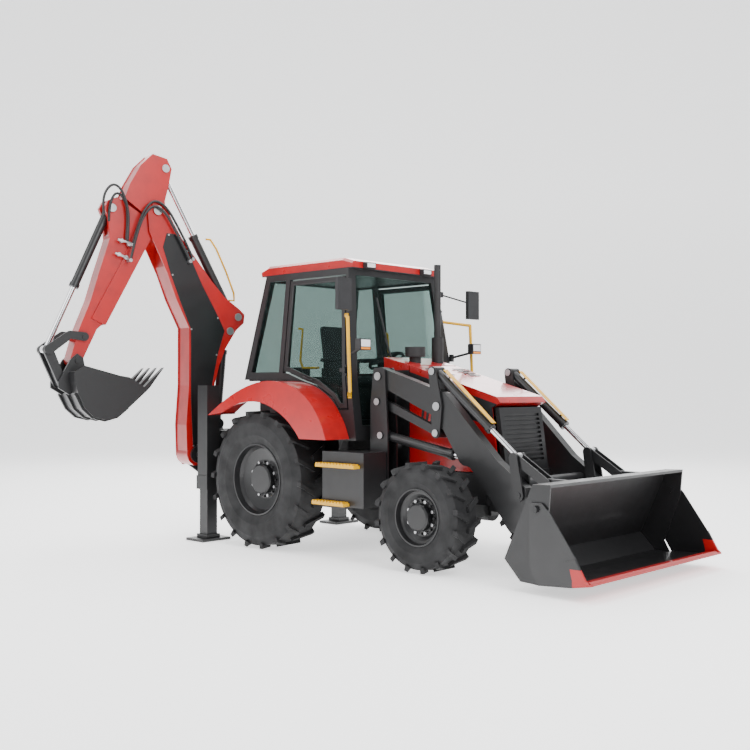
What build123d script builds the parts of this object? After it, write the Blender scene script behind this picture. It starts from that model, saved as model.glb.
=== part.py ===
"""Backhoe loader: a wheeled tractor with a front loader and a side-shift digging arm.

Frame: +X forward, +Y left, +Z up, in millimetres, the ground at z = 0. Sizes are laid out
from the point of the ground under the rear axle, and every piece is written shifted so
that the origin lies under the middle of the whole machine.
"""

import os
from math import atan2, cos, degrees, hypot, pi, radians, sin

from build123d import *

os.makedirs("parts", exist_ok=True)

# The ground point under the middle of the whole machine, from the rear axle
MIDDLE_X = 1020
MIDDLE_Y = -690

# Running clearances
PIN_GAP = 0.4
FACE_GAP = 5
SEAT_GAP = 0.3

# Wheels and axles
WHEELBASE = 2190
REAR_TYRE_R = 718
REAR_TYRE_W = 430
REAR_TRACK = 1810
REAR_RIM_R = 372
REAR_LUGS = 18
FRONT_TYRE_R = 503
FRONT_TYRE_W = 330
FRONT_TRACK = 1850
FRONT_RIM_R = 262
FRONT_LUGS = 16
LUG_H = 34
LUG_W = 46
AXLE_Z_FRONT = FRONT_TYRE_R
AXLE_Z_REAR = REAR_TYRE_R
KINGPIN_Y = 700
HUB_R = 155
WHEEL_NUTS = 8

# Chassis
RAIL_Y = 330
RAIL_W = 90
RAIL_LOW = 580
RAIL_HIGH = 870
RAIL_REAR = -800
RAIL_FRONT = 2460
STUB_R = 42
AXLE_TUBE_R = 95
DIFF_R = 190
REAR_DISH = 60
REAR_HUB_OUT = 130
FRONT_DISH = 60
FRONT_HUB_R = 125
FRONT_HUB_OUT = 138
KINGPIN_R = 28
KNUCKLE_HALF = 85
AXLE_PIN_R = 30
NOSE_X = 2690
NOSE_TOP = 900
HITCH_Z = 640
HITCH_PIN_R = 16
ENGINE_HALF = 240
BONNET_HALF = 370
BONNET_SHEET = 12
BONNET_LOW = 880
EXHAUST_R = 62

GRILLE_LOW = NOSE_TOP + SEAT_GAP
GRILLE_SLOTS = 11
GRILLE_PITCH = 42

# Cab
CAB_HALF_LOW = 800
CAB_HALF_TOP = 672
CAB_WAIST = 1760
CAB_TOP = 2885
CAB_FLOOR = 1150
CAB_WALL = 45
GLASS_T = 6
DOOR_GAP = 6
DOOR_HINGE_OUT = 5
DOOR_HINGE_Y = 818
HINGE_HEIGHTS = (1850, 2560)
HINGE_LEN = 30
HINGE_PIN_R = 7
GLASS_IN = 18
TUB_HALF = 620
TUB_FLOOR = 1330
SEAT_Z = 1800
WHEEL_R = 200
FENDER_IN = CAB_HALF_LOW + SEAT_GAP
FENDER_OUT = 1125
FENDER_SHEET = 14
STEP_BOX_IN = 560
STEP_BOX_OUT = 1000
STEP_REACH = 1085
STEP_PITCH = 44
RAIL_R = 17

# Loader, measured in its side view
ARM_PIVOT = (1357, 1787)
LEVER_PIN = (2100, 1500)
LEVER_TOP = (2045, 1828)
LEVER_LOW = (2087, 1250)
LINK_REAR = (ARM_PIVOT[0] + LEVER_LOW[0] - LEVER_PIN[0], ARM_PIVOT[1] + LEVER_LOW[1] - LEVER_PIN[1])
LIFT_BASE = (1390, 1208)
LIFT_PIN = (2420, 1022)
TILT_PIN = (2970, 1060)
GUIDE_PIN = (TILT_PIN[0] - LEVER_TOP[0] + LEVER_PIN[0], TILT_PIN[1] - LEVER_TOP[1] + LEVER_PIN[1])
BUCKET_PIN = (3120, 400)
LINK_PIN = (3300, 850)
ARM_Y = 600
ARM_HALF = 50
LEVER_T = 18
TOWER_T = 20
LOADER_PIN_R = 28
LIFT_BARREL_R = 46
LIFT_ROD_R = 28
TILT_BARREL_R = 42
TILT_ROD_R = 25
BARREL_COLLAR = 7
EYE_HALF = 28
SLOT_HALF = 34
LIFT_SLOT = [(2420, 1185), (2185, 1262), (2150, 1000), (2420, 960)]

# Loader bucket
BUCKET_HALF = 1138
BUCKET_WALL = 14
BUCKET_GAP = 6
WEAR_BARS = 7
JAW_PIN = (3531, 693)

# Digging arm, measured in its own side view from the swing axis
SHIFT_X = -1320
SHIFT_Y = -500
SWING = 80
BOOM_FOOT = (380, 920)
BOOM_TIP = (879, 3642)
BOOM_HALF = 145
BOOM_PLATE = 14
BOOM_PIN_R = 36
DIPPER_RAM_BASE = (-136, 2497)
DIPPER_RAM_PIN = (769, 4126)
BOOM_RAM_BASE = (65, 1260)
BOOM_RAM_PIN = (-30, 2330)
BUCKET_RAM_BASE = (1390, 3625)
ROCKER_PIN = (1701, 2218)
ROCKER_END = (2083, 2074)
HOE_PIN = (1784, 1965)
HOE_LINK = (1928, 1717)
HOE_PIN_R = 28
HOE_BARREL_R = 50
HOE_ROD_R = 28
DIPPER_HALF = 115
DIPPER_PLATE = 12
STICK_HALF = 97
ROCKER_IN = 103
ROCKER_T = 22
LINK_IN = 60
LINK_OUT = 96
HOE_BUCKET_HALF = 300
HOE_WALL = 14
TEETH = 4

# Side-shift frame, carriage, kingpost and stabiliser legs
FRAME_BACK = -1020
BEAM_LOW = 570
BEAM_HIGH = 1200
CARRIAGE_HALF = 280
KING_R = 90
KING_PIN_R = 45
KING_LUG_LOW = 600
KING_LUG_TOP = 1190
KING_LUG_T = 60
LEG_X = -896
LEG_Y = 1013
LEG_SLEEVE = 170
LEG_TUBE = 136
LEG_GAP = 0.6
LEG_SLEEVE_LOW = 560
LEG_SLEEVE_TOP = 1700
PAD_T = 28
SIDE_RISE = 1760


def side(y):
    """Vertical plane at one y, its local x along +X and its local y along +Z."""
    return Plane(origin=(0, y, 0), x_dir=(1, 0, 0), z_dir=(0, -1, 0))


def front(x):
    """Vertical plane at one x, its local x along +Y and its local y along +Z."""
    return Plane(origin=(x, 0, 0), x_dir=(0, 1, 0), z_dir=(1, 0, 0))


def hoe(offset=0):
    """Side view plane of the swung digging arm: local x outward, local y up."""
    swing = radians(SWING)
    across = Vector(-sin(swing), cos(swing), 0)
    origin = Vector(SHIFT_X, SHIFT_Y, 0) + across * offset
    return Plane(origin=origin, x_dir=(-cos(swing), -sin(swing), 0), z_dir=across)


def heading(start, end):
    """Angle in degrees of the way from one side view point to another."""
    return degrees(atan2(end[1] - start[1], end[0] - start[0]))


def distance(start, end):
    """Distance between two side view points."""
    return hypot(end[0] - start[0], end[1] - start[1])


def along(start, end, step):
    """Point a step along the way from one side view point to another."""
    share = step / distance(start, end)
    return (start[0] + (end[0] - start[0]) * share, start[1] + (end[1] - start[1]) * share)


def slab(plane, points, half, mode=Mode.ADD, radius=0):
    """Plate of a closed outline, as thick as twice the half, centred on the plane."""
    with BuildSketch(plane) as outline:
        with BuildLine():
            Polyline(*points, close=True)
        make_face()
        if radius:
            fillet(outline.vertices(), radius)
    extrude(outline.sketch, amount=half, both=True, mode=mode)


def boss(plane, at, radius, half, mode=Mode.ADD):
    """Round boss or hole across a view plane."""
    with BuildSketch(plane) as circle:
        with Locations(at):
            Circle(radius)
    extrude(circle.sketch, amount=half, both=True, mode=mode)


def strap(plane, start, end, width_start, width_end, half, mode=Mode.ADD):
    """Tapered link with round ends between two pins."""
    boss(plane, start, width_start, half, mode)
    boss(plane, end, width_end, half, mode)
    length = distance(start, end)
    foot = plane.from_local_coords(Vector(start[0], start[1], 0))
    head = plane.from_local_coords(Vector(end[0], end[1], 0))
    lean = Plane(origin=foot, x_dir=head - foot, z_dir=plane.z_dir)
    slab(
        lean,
        [(0, -width_start), (length, -width_end), (length, width_end), (0, width_start)],
        half,
        mode,
    )


def bar(start, end, radius, mode=Mode.ADD):
    """Round bar between two points of space."""
    foot = Vector(*start)
    way = Vector(*end) - foot
    with BuildSketch(Plane(origin=foot, z_dir=way)) as circle:
        Circle(radius)
    extrude(circle.sketch, amount=way.length, mode=mode)


def rod(plane, start, end, radius, mode=Mode.ADD):
    """Round bar lying in a view plane from one point to another."""
    foot = plane.from_local_coords(Vector(start[0], start[1], 0))
    head = plane.from_local_coords(Vector(end[0], end[1], 0))
    bar(tuple(foot), tuple(head), radius, mode)


def block(low, high, mode=Mode.ADD):
    """Box between its lowest and highest corners."""
    size = [high[axis] - low[axis] for axis in range(3)]
    with BuildSketch(Plane.XY.offset(low[2])) as base:
        with Locations(((low[0] + high[0]) / 2, (low[1] + high[1]) / 2)):
            Rectangle(size[0], size[1])
    extrude(base.sketch, amount=size[2], mode=mode)


def ram_barrel(plane, base, tip, length, radius, rod_r, eye_r, eye_half, pin_r):
    """Cylinder barrel with its eye, its bore open at the rod's end."""
    mouth = along(base, tip, length)
    rod(plane, along(base, tip, eye_r * 0.6), mouth, radius)
    rod(plane, along(base, tip, length - radius), mouth, radius + 8)
    boss(plane, base, eye_r, eye_half)
    boss(plane, base, pin_r + PIN_GAP, eye_half + 10, Mode.SUBTRACT)
    rod(plane, along(base, tip, eye_r + 25), mouth, rod_r + 1, Mode.SUBTRACT)


def ram_rod(plane, base, tip, start, rod_r, eye_r, eye_half):
    """Cylinder rod with a filled eye, from a point inside the barrel."""
    rod(plane, along(base, tip, start), along(base, tip, distance(base, tip) - eye_r * 0.6), rod_r)
    boss(plane, tip, eye_r, eye_half)


def rounded(points, rounds=2):
    """Open outline with its inner corners cut off again and again until it looks curved."""
    for _ in range(rounds):
        cut = [points[0]]
        for start, end in zip(points, points[1:]):
            cut.append((start[0] * 0.75 + end[0] * 0.25, start[1] * 0.75 + end[1] * 0.25))
            cut.append((start[0] * 0.25 + end[0] * 0.75, start[1] * 0.25 + end[1] * 0.75))
        cut.append(points[-1])
        points = cut
    return points


def save(part, name):
    """Label a piece and write it, shifted to the machine's middle."""
    placed = part.moved(Location((-MIDDLE_X, -MIDDLE_Y, 0)))
    placed.label = name
    export_step(placed, f"parts/{name}.step")


# Wheels


def tyre(radius, width, rim_r, lugs):
    """Tyre with chevron lugs, standing about the Y axis."""
    half = width / 2
    carcass = radius - LUG_H
    wall = carcass - rim_r
    reach = carcass * 2 * pi / lugs
    rake = reach * 0.45
    crown = (radius**2 - (rake / 2 + LUG_W / 2) ** 2) ** 0.5
    with BuildPart() as piece:
        with BuildSketch(Plane.XY):
            with BuildLine():
                Polyline(
                    (rim_r, half * 0.80),
                    (rim_r + wall * 0.30, half),
                    (rim_r + wall * 0.70, half),
                    (carcass, half * 0.80),
                    (carcass, -half * 0.80),
                    (rim_r + wall * 0.70, -half),
                    (rim_r + wall * 0.30, -half),
                    (rim_r, -half * 0.80),
                    close=True,
                )
            make_face()
        revolve(axis=Axis.Y)
        lug_set = []
        for row in (-1, 1):
            with BuildPart(mode=Mode.PRIVATE) as lug:
                with BuildSketch(Plane.XY.offset(carcass - 24)):
                    with BuildLine():
                        Polyline(
                            (rake / 2 - LUG_W / 2, row * 6),
                            (rake / 2 + LUG_W / 2, row * 6),
                            (-rake / 2 + LUG_W / 2, row * (half - 3)),
                            (-rake / 2 - LUG_W / 2, row * (half - 3)),
                            close=True,
                        )
                    make_face()
                extrude(amount=crown - carcass + 24)
            for index in range(lugs):
                turn = 360 / lugs * (index + row * 0.25)
                lug_set.append(lug.part.rotate(Axis.Y, turn))
        add(lug_set)
    return piece.part


def rim(radius, width, dish, hub_r, hub_out):
    """Wheel rim about the Y axis with a dished disc and hub cap, its open side at +Y."""
    edge = width * 0.42
    half = width / 2
    with BuildPart() as piece:
        with BuildSketch(Plane.XY):
            with BuildLine():
                Polyline(
                    (radius, edge),
                    (radius - 14, edge),
                    (radius - 26, half * 0.55),
                    (radius - 52, dish + 26),
                    (hub_r + 50, dish),
                    (hub_r, dish),
                    (hub_r, hub_out - 14),
                    (hub_r - 14, hub_out),
                    (0, hub_out),
                    (0, dish + 50),
                    (STUB_R + PIN_GAP, dish + 50),
                    (STUB_R + PIN_GAP, dish - 16),
                    (hub_r + 40, dish - 16),
                    (radius - 40, dish - 6),
                    (radius - 26, -half * 0.5),
                    (radius - 14, -edge),
                    (radius, -edge),
                    close=True,
                )
            make_face()
        revolve(axis=Axis.Y)
        with BuildSketch(Plane.XZ.offset(-dish)):
            with PolarLocations(hub_r + 26, WHEEL_NUTS):
                Circle(12)
        extrude(amount=-20)
    return piece.part


def wheels(name, tread, disc, x, y, z):
    """Write the two wheels of an axle, the discs' open sides outward."""
    for label, across in (("left", 1), ("right", -1)):
        place = Location((x, across * y, z))
        save(tread.moved(place), f"{name}_tyre_{label}")
        save(disc.rotate(Axis.Z, 90 - 90 * across).moved(place), f"{name}_rim_{label}")


wheels(
    "rear",
    tyre(REAR_TYRE_R, REAR_TYRE_W, REAR_RIM_R, REAR_LUGS),
    rim(REAR_RIM_R - SEAT_GAP, REAR_TYRE_W, REAR_DISH, HUB_R, REAR_HUB_OUT),
    0,
    REAR_TRACK / 2,
    REAR_TYRE_R,
)
wheels(
    "front",
    tyre(FRONT_TYRE_R, FRONT_TYRE_W, FRONT_RIM_R, FRONT_LUGS),
    rim(FRONT_RIM_R - SEAT_GAP, FRONT_TYRE_W, FRONT_DISH, FRONT_HUB_R, FRONT_HUB_OUT),
    WHEELBASE,
    FRONT_TRACK / 2,
    FRONT_TYRE_R,
)

# Axles

with BuildPart() as rear_axle:
    stub_end = REAR_TRACK / 2 + REAR_DISH + 40
    bar((0, -stub_end, AXLE_Z_REAR), (0, stub_end, AXLE_Z_REAR), STUB_R)
    trumpet = REAR_TRACK / 2 - REAR_TYRE_W / 2 + 90
    bar((0, -trumpet, AXLE_Z_REAR), (0, trumpet, AXLE_Z_REAR), AXLE_TUBE_R)
    bar((0, -190, AXLE_Z_REAR), (0, 190, AXLE_Z_REAR), DIFF_R)
    bar((-60, 0, AXLE_Z_REAR), (330, 0, AXLE_Z_REAR), 90)
    for across in (-1, 1):
        bar((0, across * trumpet, AXLE_Z_REAR), (0, across * (trumpet + 50), AXLE_Z_REAR), 150)
save(rear_axle.part, "rear_axle")

with BuildPart() as front_axle:
    block(
        (WHEELBASE - 70, -KINGPIN_Y + 75, AXLE_Z_FRONT - 65),
        (WHEELBASE + 70, KINGPIN_Y - 75, AXLE_Z_FRONT + 65),
    )
    bar((WHEELBASE - 60, 0, AXLE_Z_FRONT), (WHEELBASE + 60, 0, AXLE_Z_FRONT), 120)
    block((WHEELBASE - 60, -110, AXLE_Z_FRONT), (WHEELBASE + 60, 110, RAIL_LOW + 60))
    for across in (-1, 1):
        for level in (-1, 1):
            low = AXLE_Z_FRONT + level * KNUCKLE_HALF + (SEAT_GAP + 3 if level > 0 else -33)
            with BuildSketch(Plane.XY.offset(low)):
                with Locations((WHEELBASE, across * KINGPIN_Y)):
                    Circle(48)
                with Locations((WHEELBASE, across * (KINGPIN_Y - 60))):
                    Rectangle(96, 120)
            extrude(amount=30)
        block(
            (WHEELBASE - 48, across * (KINGPIN_Y - 90) - 25, AXLE_Z_FRONT - KNUCKLE_HALF - 33),
            (WHEELBASE + 48, across * (KINGPIN_Y - 90) + 25, AXLE_Z_FRONT + KNUCKLE_HALF + 33),
        )
        reach = KNUCKLE_HALF + 33
        bar(
            (WHEELBASE, across * KINGPIN_Y, AXLE_Z_FRONT - reach),
            (WHEELBASE, across * KINGPIN_Y, AXLE_Z_FRONT + reach),
            KINGPIN_R,
        )
    bar(
        (WHEELBASE - 80, 0, AXLE_Z_FRONT), (WHEELBASE + 80, 0, AXLE_Z_FRONT), AXLE_PIN_R + PIN_GAP, Mode.SUBTRACT
    )
save(front_axle.part, "front_axle")

for label, across in (("left", 1), ("right", -1)):
    with BuildPart() as knuckle:
        with BuildSketch(Plane.XY.offset(AXLE_Z_FRONT - KNUCKLE_HALF)):
            with Locations((WHEELBASE, across * KINGPIN_Y)):
                Circle(48)
        extrude(amount=2 * KNUCKLE_HALF)
        shoulder = across * (KINGPIN_Y + 130)
        bar((WHEELBASE, across * KINGPIN_Y, AXLE_Z_FRONT), (WHEELBASE, shoulder, AXLE_Z_FRONT), 75)
        stub = across * (FRONT_TRACK / 2 + FRONT_DISH + 40)
        bar((WHEELBASE, across * KINGPIN_Y, AXLE_Z_FRONT), (WHEELBASE, stub, AXLE_Z_FRONT), STUB_R)
        with BuildSketch(Plane.XY.offset(AXLE_Z_FRONT - KNUCKLE_HALF - 10)):
            with Locations((WHEELBASE, across * KINGPIN_Y)):
                Circle(KINGPIN_R + PIN_GAP)
        extrude(amount=2 * KNUCKLE_HALF + 20, mode=Mode.SUBTRACT)
    save(knuckle.part, f"knuckle_{label}")

# Main frame with the loader towers

TOWER_IN = ARM_HALF + FACE_GAP
with BuildPart() as main_frame:
    for across in (-1, 1):
        block(
            (RAIL_REAR, across * RAIL_Y - RAIL_W / 2, RAIL_LOW),
            (RAIL_FRONT, across * RAIL_Y + RAIL_W / 2, RAIL_HIGH),
        )
    for place in (-700, 560, 1365, RAIL_FRONT - 60):
        block((place - 60, -RAIL_Y, RAIL_LOW + 60), (place + 60, RAIL_Y, RAIL_HIGH - 20))
    for across in (-1, 1):
        for wall in (-1, 1):
            slab(
                side(across * ARM_Y + wall * (TOWER_IN + TOWER_T / 2)),
                [(1250, 620), (1480, 620), (1480, 1260), (1440, 1870), (1290, 1870), (1250, 1500)],
                TOWER_T / 2,
                radius=30,
            )
        edges = sorted((across * RAIL_Y, across * (ARM_Y + TOWER_IN)))
        block((1260, edges[0], 630), (1470, edges[1], 740))
        for pin in (ARM_PIVOT, LINK_REAR, LIFT_BASE):
            boss(side(across * ARM_Y), pin, LOADER_PIN_R, TOWER_IN + TOWER_T + 12)
        boss(
            side(across * RAIL_Y), (0, AXLE_Z_REAR), AXLE_TUBE_R + SEAT_GAP, RAIL_W, Mode.SUBTRACT
        )
    block((WHEELBASE - 105, -RAIL_Y, 700), (WHEELBASE + 105, RAIL_Y, 790))
    for end in (-1, 1):
        edges = sorted((WHEELBASE + end * 75, WHEELBASE + end * 105))
        block((edges[0], -90, AXLE_Z_FRONT - 60), (edges[1], 90, 720))
    bar((WHEELBASE - 110, 0, AXLE_Z_FRONT), (WHEELBASE + 110, 0, AXLE_Z_FRONT), AXLE_PIN_R)
    for across in (-1, 1):
        edges = sorted((across * (BONNET_HALF - 25), across * (RAIL_Y + RAIL_W / 2)))
        for place in (1700, 2340):
            block((place, edges[0], RAIL_HIGH - 2), (place + 60, edges[1], BONNET_LOW - SEAT_GAP))
    block((RAIL_FRONT - 20, -310, RAIL_LOW - 60), (NOSE_X, 310, NOSE_TOP))
    block((NOSE_X - 90, -70, HITCH_Z + 30), (NOSE_X + 10, 70, HITCH_Z + 90), Mode.SUBTRACT)
    with BuildSketch(Plane.XY.offset(RAIL_LOW - 60)):
        with Locations((NOSE_X - 40, 0)):
            Circle(HITCH_PIN_R)
    extrude(amount=HITCH_Z + 120 - (RAIL_LOW - 60), mode=Mode.SUBTRACT)
save(main_frame.part, "main_frame")

with BuildPart() as engine:
    block((1420, -ENGINE_HALF, RAIL_HIGH + 20), (2440, ENGINE_HALF, 1380))
    for across in (-1, 1):
        edges = sorted((across * (ENGINE_HALF - 10), across * (RAIL_Y + 15)))
        for place in (1560, 2300):
            block((place - 40, edges[0], RAIL_HIGH), (place + 40, edges[1], RAIL_HIGH + 40))

with BuildPart() as grille:
    slab(side(0), [(2612, GRILLE_LOW), (2660, GRILLE_LOW), (2575, 1490), (2527, 1490)], 340)
    for step in range(GRILLE_SLOTS):
        low = 985 + step * GRILLE_PITCH
        face = 2660 - (low - 900) / 590 * 85
        block((face - 22, -285, low), (face + 20, 285, low + 24), Mode.SUBTRACT)
save(grille.part, "grille")

with BuildPart() as bonnet:
    slab(
        side(0),
        [(1500, BONNET_LOW), (2595, BONNET_LOW), (2515, 1490), (2612, 1535), (2570, 1590), (1500, 1900)],
        BONNET_HALF,
        radius=6,
    )
    slab(
        side(0),
        [(1300, 700), (2800, 700), (2560, 1478), (2500, 1560), (1300, 1908)],
        BONNET_HALF - BONNET_SHEET,
        Mode.SUBTRACT,
    )
save(bonnet.part, "bonnet")

with BuildPart() as cowl:
    slab(side(0), [(1190, RAIL_HIGH), (1490, RAIL_HIGH), (1490, 1905), (1150, 1985)], BONNET_HALF)
    slab(
        side(0), [
            (1100, 700),
            (1600, 700),
            (1600, 1866),
            (1100, 1984),
        ], BONNET_HALF - BONNET_SHEET, Mode.SUBTRACT
    )
    bar((1340, 250, 1700), (1340, 250, 2100), EXHAUST_R + SEAT_GAP, Mode.SUBTRACT)
    bar((1345, -110, 1700), (1345, -110, 2100), 60 + SEAT_GAP, Mode.SUBTRACT)

with BuildPart() as stacks:
    bar((1340, 250, 1880), (1340, 250, 2200), EXHAUST_R)
    bar((1340, 250, 2200), (1340, 250, 2960), 36)
    bar((1345, -110, 1890), (1345, -110, 2010), 60)
    bar((1345, -110, 1990), (1345, -110, 2090), 105)
with BuildPart() as power_unit:
    add(engine.part)
    add(stacks.part)
save(power_unit.part, "engine")

# Cab

CAB_SIDE = [
    (1175, CAB_FLOOR),
    (955, CAB_TOP),
    (-305, CAB_TOP),
    (-534, CAB_WAIST),
    (160, CAB_WAIST),
    (480, 1600),
    (700, 1330),
    (740, CAB_FLOOR),
]


def cab_body(inset, side_inset):
    """Cab outline, shrunk in side view by an inset and at its sides by another."""
    with BuildPart() as body:
        with BuildSketch(side(0)):
            with BuildLine():
                Polyline(*CAB_SIDE, close=True)
            make_face()
            if inset:
                offset(amount=-inset, kind=Kind.INTERSECTION)
        extrude(amount=900, both=True)
        with BuildSketch(front(0)):
            with BuildLine():
                Polyline(
                    (-CAB_HALF_LOW + side_inset, 1000),
                    (-CAB_HALF_LOW + side_inset, CAB_WAIST),
                    (-CAB_HALF_TOP + side_inset, 3000),
                    (CAB_HALF_TOP - side_inset, 3000),
                    (CAB_HALF_LOW - side_inset, CAB_WAIST),
                    (CAB_HALF_LOW - side_inset, 1000),
                    close=True,
                )
            make_face()
        extrude(amount=2000, both=True, mode=Mode.INTERSECT)
    return body.part


DOORWAY = [
    (930, 1455),
    (1072, 1455),
    (925, 2820),
    (85, 2820),
    (85, 1830),
    (168, 1822),
    (396, 1749),
    (603, 1697),
    (845, 1565),
]
DOOR = [
    (938, 1470),
    (1053, 1470),
    (912, 2805),
    (100, 2805),
    (100, 1845),
    (172, 1838),
    (400, 1764),
    (610, 1712),
    (856, 1577),
]
DOOR_PANE = [
    (892, 1604),
    (960, 1515),
    (1003, 1515),
    (872, 2760),
    (150, 2760),
    (150, 1890),
    (184, 1884),
    (413, 1809),
    (629, 1752),
]
QUARTER_PANE = [(20, 1840), (20, 2820), (-235, 2820), (-430, 1840)]
SCREEN = [(-690, 1300), (-700, CAB_WAIST), (-590, 2820), (590, 2820), (700, CAB_WAIST), (690, 1300)]
BACK_SCREEN = [(-700, 1800), (-590, 2820), (590, 2820), (700, 1800)]


def hinge_axis(across, height):
    """Point of a door's hinge line, which leans with the side and the front pillar of the cab."""
    lean = (CAB_HALF_LOW - CAB_HALF_TOP) / (3000 - CAB_WAIST)
    (low_x, low_z), (high_x, high_z) = DOOR[1], DOOR[2]
    edge = low_x + (high_x - low_x) * (height - low_z) / (high_z - low_z)
    return (edge + DOOR_HINGE_OUT, across * (DOOR_HINGE_Y - lean * (height - CAB_WAIST)), height)


with BuildPart() as cab_frame:
    add(cab_body(0, 0))
    add(cab_body(CAB_WALL, CAB_WALL), mode=Mode.SUBTRACT)
    block((-460, -TUB_HALF, TUB_FLOOR), (725, TUB_HALF, CAB_WAIST + 50), Mode.SUBTRACT)
    slab(side(0), DOORWAY, 900, Mode.SUBTRACT)
    slab(side(0), QUARTER_PANE, 900, Mode.SUBTRACT)
    slab(front(1500), SCREEN, 1200, Mode.SUBTRACT)
    slab(front(-1000), BACK_SCREEN, 900, Mode.SUBTRACT)
    block((-470, -TUB_HALF, TUB_FLOOR - 30), (740, TUB_HALF, TUB_FLOOR))
    block((-470, -TUB_HALF, TUB_FLOOR - 30), (-440, TUB_HALF, CAB_WAIST + 30))
    for across in (-1, 1):
        block((-470, across * TUB_HALF - 15, TUB_FLOOR - 30), (740, across * TUB_HALF + 15, CAB_WAIST))
        edges = sorted((across * TUB_HALF, across * (CAB_HALF_LOW - 10)))
        block((-470, edges[0], CAB_WAIST - 15), (170, edges[1], CAB_WAIST))
    block((710, -700, CAB_FLOOR), (740, 700, TUB_FLOOR))
    for place in (-300, 600):
        block((place, -RAIL_Y, RAIL_HIGH), (place + 90, RAIL_Y, TUB_FLOOR - 30))
    for across in (-1, 1):
        for height in HINGE_HEIGHTS:
            bar(
                hinge_axis(across, height - HINGE_LEN - 25),
                hinge_axis(across, height + HINGE_LEN + 25),
                HINGE_PIN_R,
            )
            for end in (-1, 1):
                middle = hinge_axis(across, height + end * (HINGE_LEN + 14))
                block(
                    (middle[0] - 2, middle[1] - 48 if across > 0 else middle[1] - 12, middle[2] - 11),
                    (middle[0] + 40, middle[1] + 12 if across > 0 else middle[1] + 48, middle[2] + 11),
                )
save(cab_frame.part, "cab_frame")


def pane(outline, plane, inset, side_inset):
    """Sheets of glass in the cab's opposite walls, clear of their openings' edges."""
    step = GLASS_T if inset else 0
    side_step = GLASS_T if side_inset else 0
    with BuildPart() as sheet:
        add(cab_body(inset, side_inset))
        add(cab_body(inset + step, side_inset + side_step), mode=Mode.SUBTRACT)
        with BuildSketch(plane) as edge:
            with BuildLine():
                Polyline(*outline, close=True)
            make_face()
            offset(amount=-SEAT_GAP, kind=Kind.INTERSECTION)
        extrude(edge.sketch, amount=1400, both=True, mode=Mode.INTERSECT)
    return sheet.part


with BuildPart() as cab_glass:
    add(pane(SCREEN, front(1500), GLASS_IN, 0).solids().sort_by(Axis.X)[-1])
    add(pane(BACK_SCREEN, front(-1000), GLASS_IN, 0).solids().sort_by(Axis.X)[0])
    add(pane(QUARTER_PANE, side(0), 0, GLASS_IN))
save(cab_glass.part, "cab_glass")

with BuildPart() as cab_roof:
    slab(
        side(0),
        [
            (990, CAB_TOP + SEAT_GAP),
            (985, 2960),
            (850, 3000),
            (-300, 3000),
            (-420, 2960),
            (-400, CAB_TOP + SEAT_GAP),
        ],
        665,
    )
    for end in (0, -1):
        rims = cab_roof.faces().sort_by(Axis.Y)[end].edges().sort_by(Axis.Z)[-3:]
        chamfer(rims, 26)
save(cab_roof.part, "cab_roof")

# Loader linkage

with BuildPart() as loader_arms:
    for across in (-1, 1):
        plane = side(across * ARM_Y)
        slab(
            plane,
            [
                (1357, 1875),
                (2180, 1625),
                (2785, 1020),
                (3090, 800),
                (3110, 600),
                (3180, 430),
                (3060, 345),
                (2900, 430),
                (2640, 760),
                (2480, 945),
                (2360, 985),
                (2090, 1390),
                (1340, 1700),
            ],
            ARM_HALF,
        )
        boss(plane, ARM_PIVOT, 88, ARM_HALF)
        boss(plane, BUCKET_PIN, 72, ARM_HALF)
        boss(plane, LIFT_PIN, 62, ARM_HALF)
        boss(plane, LIFT_PIN, 150, SLOT_HALF, Mode.SUBTRACT)
        slab(plane, LIFT_SLOT, SLOT_HALF, Mode.SUBTRACT)
        for pin in (ARM_PIVOT, LEVER_PIN, BUCKET_PIN, GUIDE_PIN):
            boss(plane, pin, LOADER_PIN_R + PIN_GAP, ARM_HALF + 10, Mode.SUBTRACT)
    bar((2880, -ARM_Y, 800), (2880, ARM_Y, 800), 60)
save(loader_arms.part, "loader_arms")

with BuildPart() as rear_links:
    for across in (-1, 1):
        plane = side(across * ARM_Y)
        strap(plane, LINK_REAR, LEVER_LOW, 40, 40, 26)
        for pin in (LINK_REAR, LEVER_LOW):
            boss(plane, pin, 44, ARM_HALF)
            boss(plane, pin, LOADER_PIN_R + PIN_GAP, 80, Mode.SUBTRACT)
save(rear_links.part, "rear_links")

with BuildPart() as levers:
    for across in (-1, 1):
        for wall in (-1, 1):
            plane = side(across * ARM_Y + wall * (ARM_HALF + FACE_GAP + LEVER_T / 2))
            strap(plane, LEVER_LOW, LEVER_PIN, 48, 62, LEVER_T / 2)
            strap(plane, LEVER_PIN, LEVER_TOP, 62, 46, LEVER_T / 2)
        for pin in (LEVER_PIN, LEVER_TOP, LEVER_LOW):
            boss(side(across * ARM_Y), pin, LOADER_PIN_R, ARM_HALF + FACE_GAP + LEVER_T + 8)
save(levers.part, "levers")

with BuildPart() as tilt_barrels:
    for across in (-1, 1):
        ram_barrel(
            side(across * ARM_Y), LEVER_TOP, TILT_PIN, 830, TILT_BARREL_R, TILT_ROD_R, 46, ARM_HALF, LOADER_PIN_R
        )
save(tilt_barrels.part, "tilt_barrels")

with BuildPart() as tilt_rods:
    for across in (-1, 1):
        ram_rod(side(across * ARM_Y), LEVER_TOP, TILT_PIN, 430, TILT_ROD_R, 42, EYE_HALF)
save(tilt_rods.part, "tilt_rods")

with BuildPart() as lift_barrels:
    for across in (-1, 1):
        ram_barrel(
            side(across * ARM_Y), LIFT_BASE, LIFT_PIN, 880, LIFT_BARREL_R, LIFT_ROD_R, 50, ARM_HALF, LOADER_PIN_R
        )
save(lift_barrels.part, "lift_barrels")

with BuildPart() as lift_rods:
    for across in (-1, 1):
        ram_rod(side(across * ARM_Y), LIFT_BASE, LIFT_PIN, 130, LIFT_ROD_R, 44, EYE_HALF)
save(lift_rods.part, "lift_rods")

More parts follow.
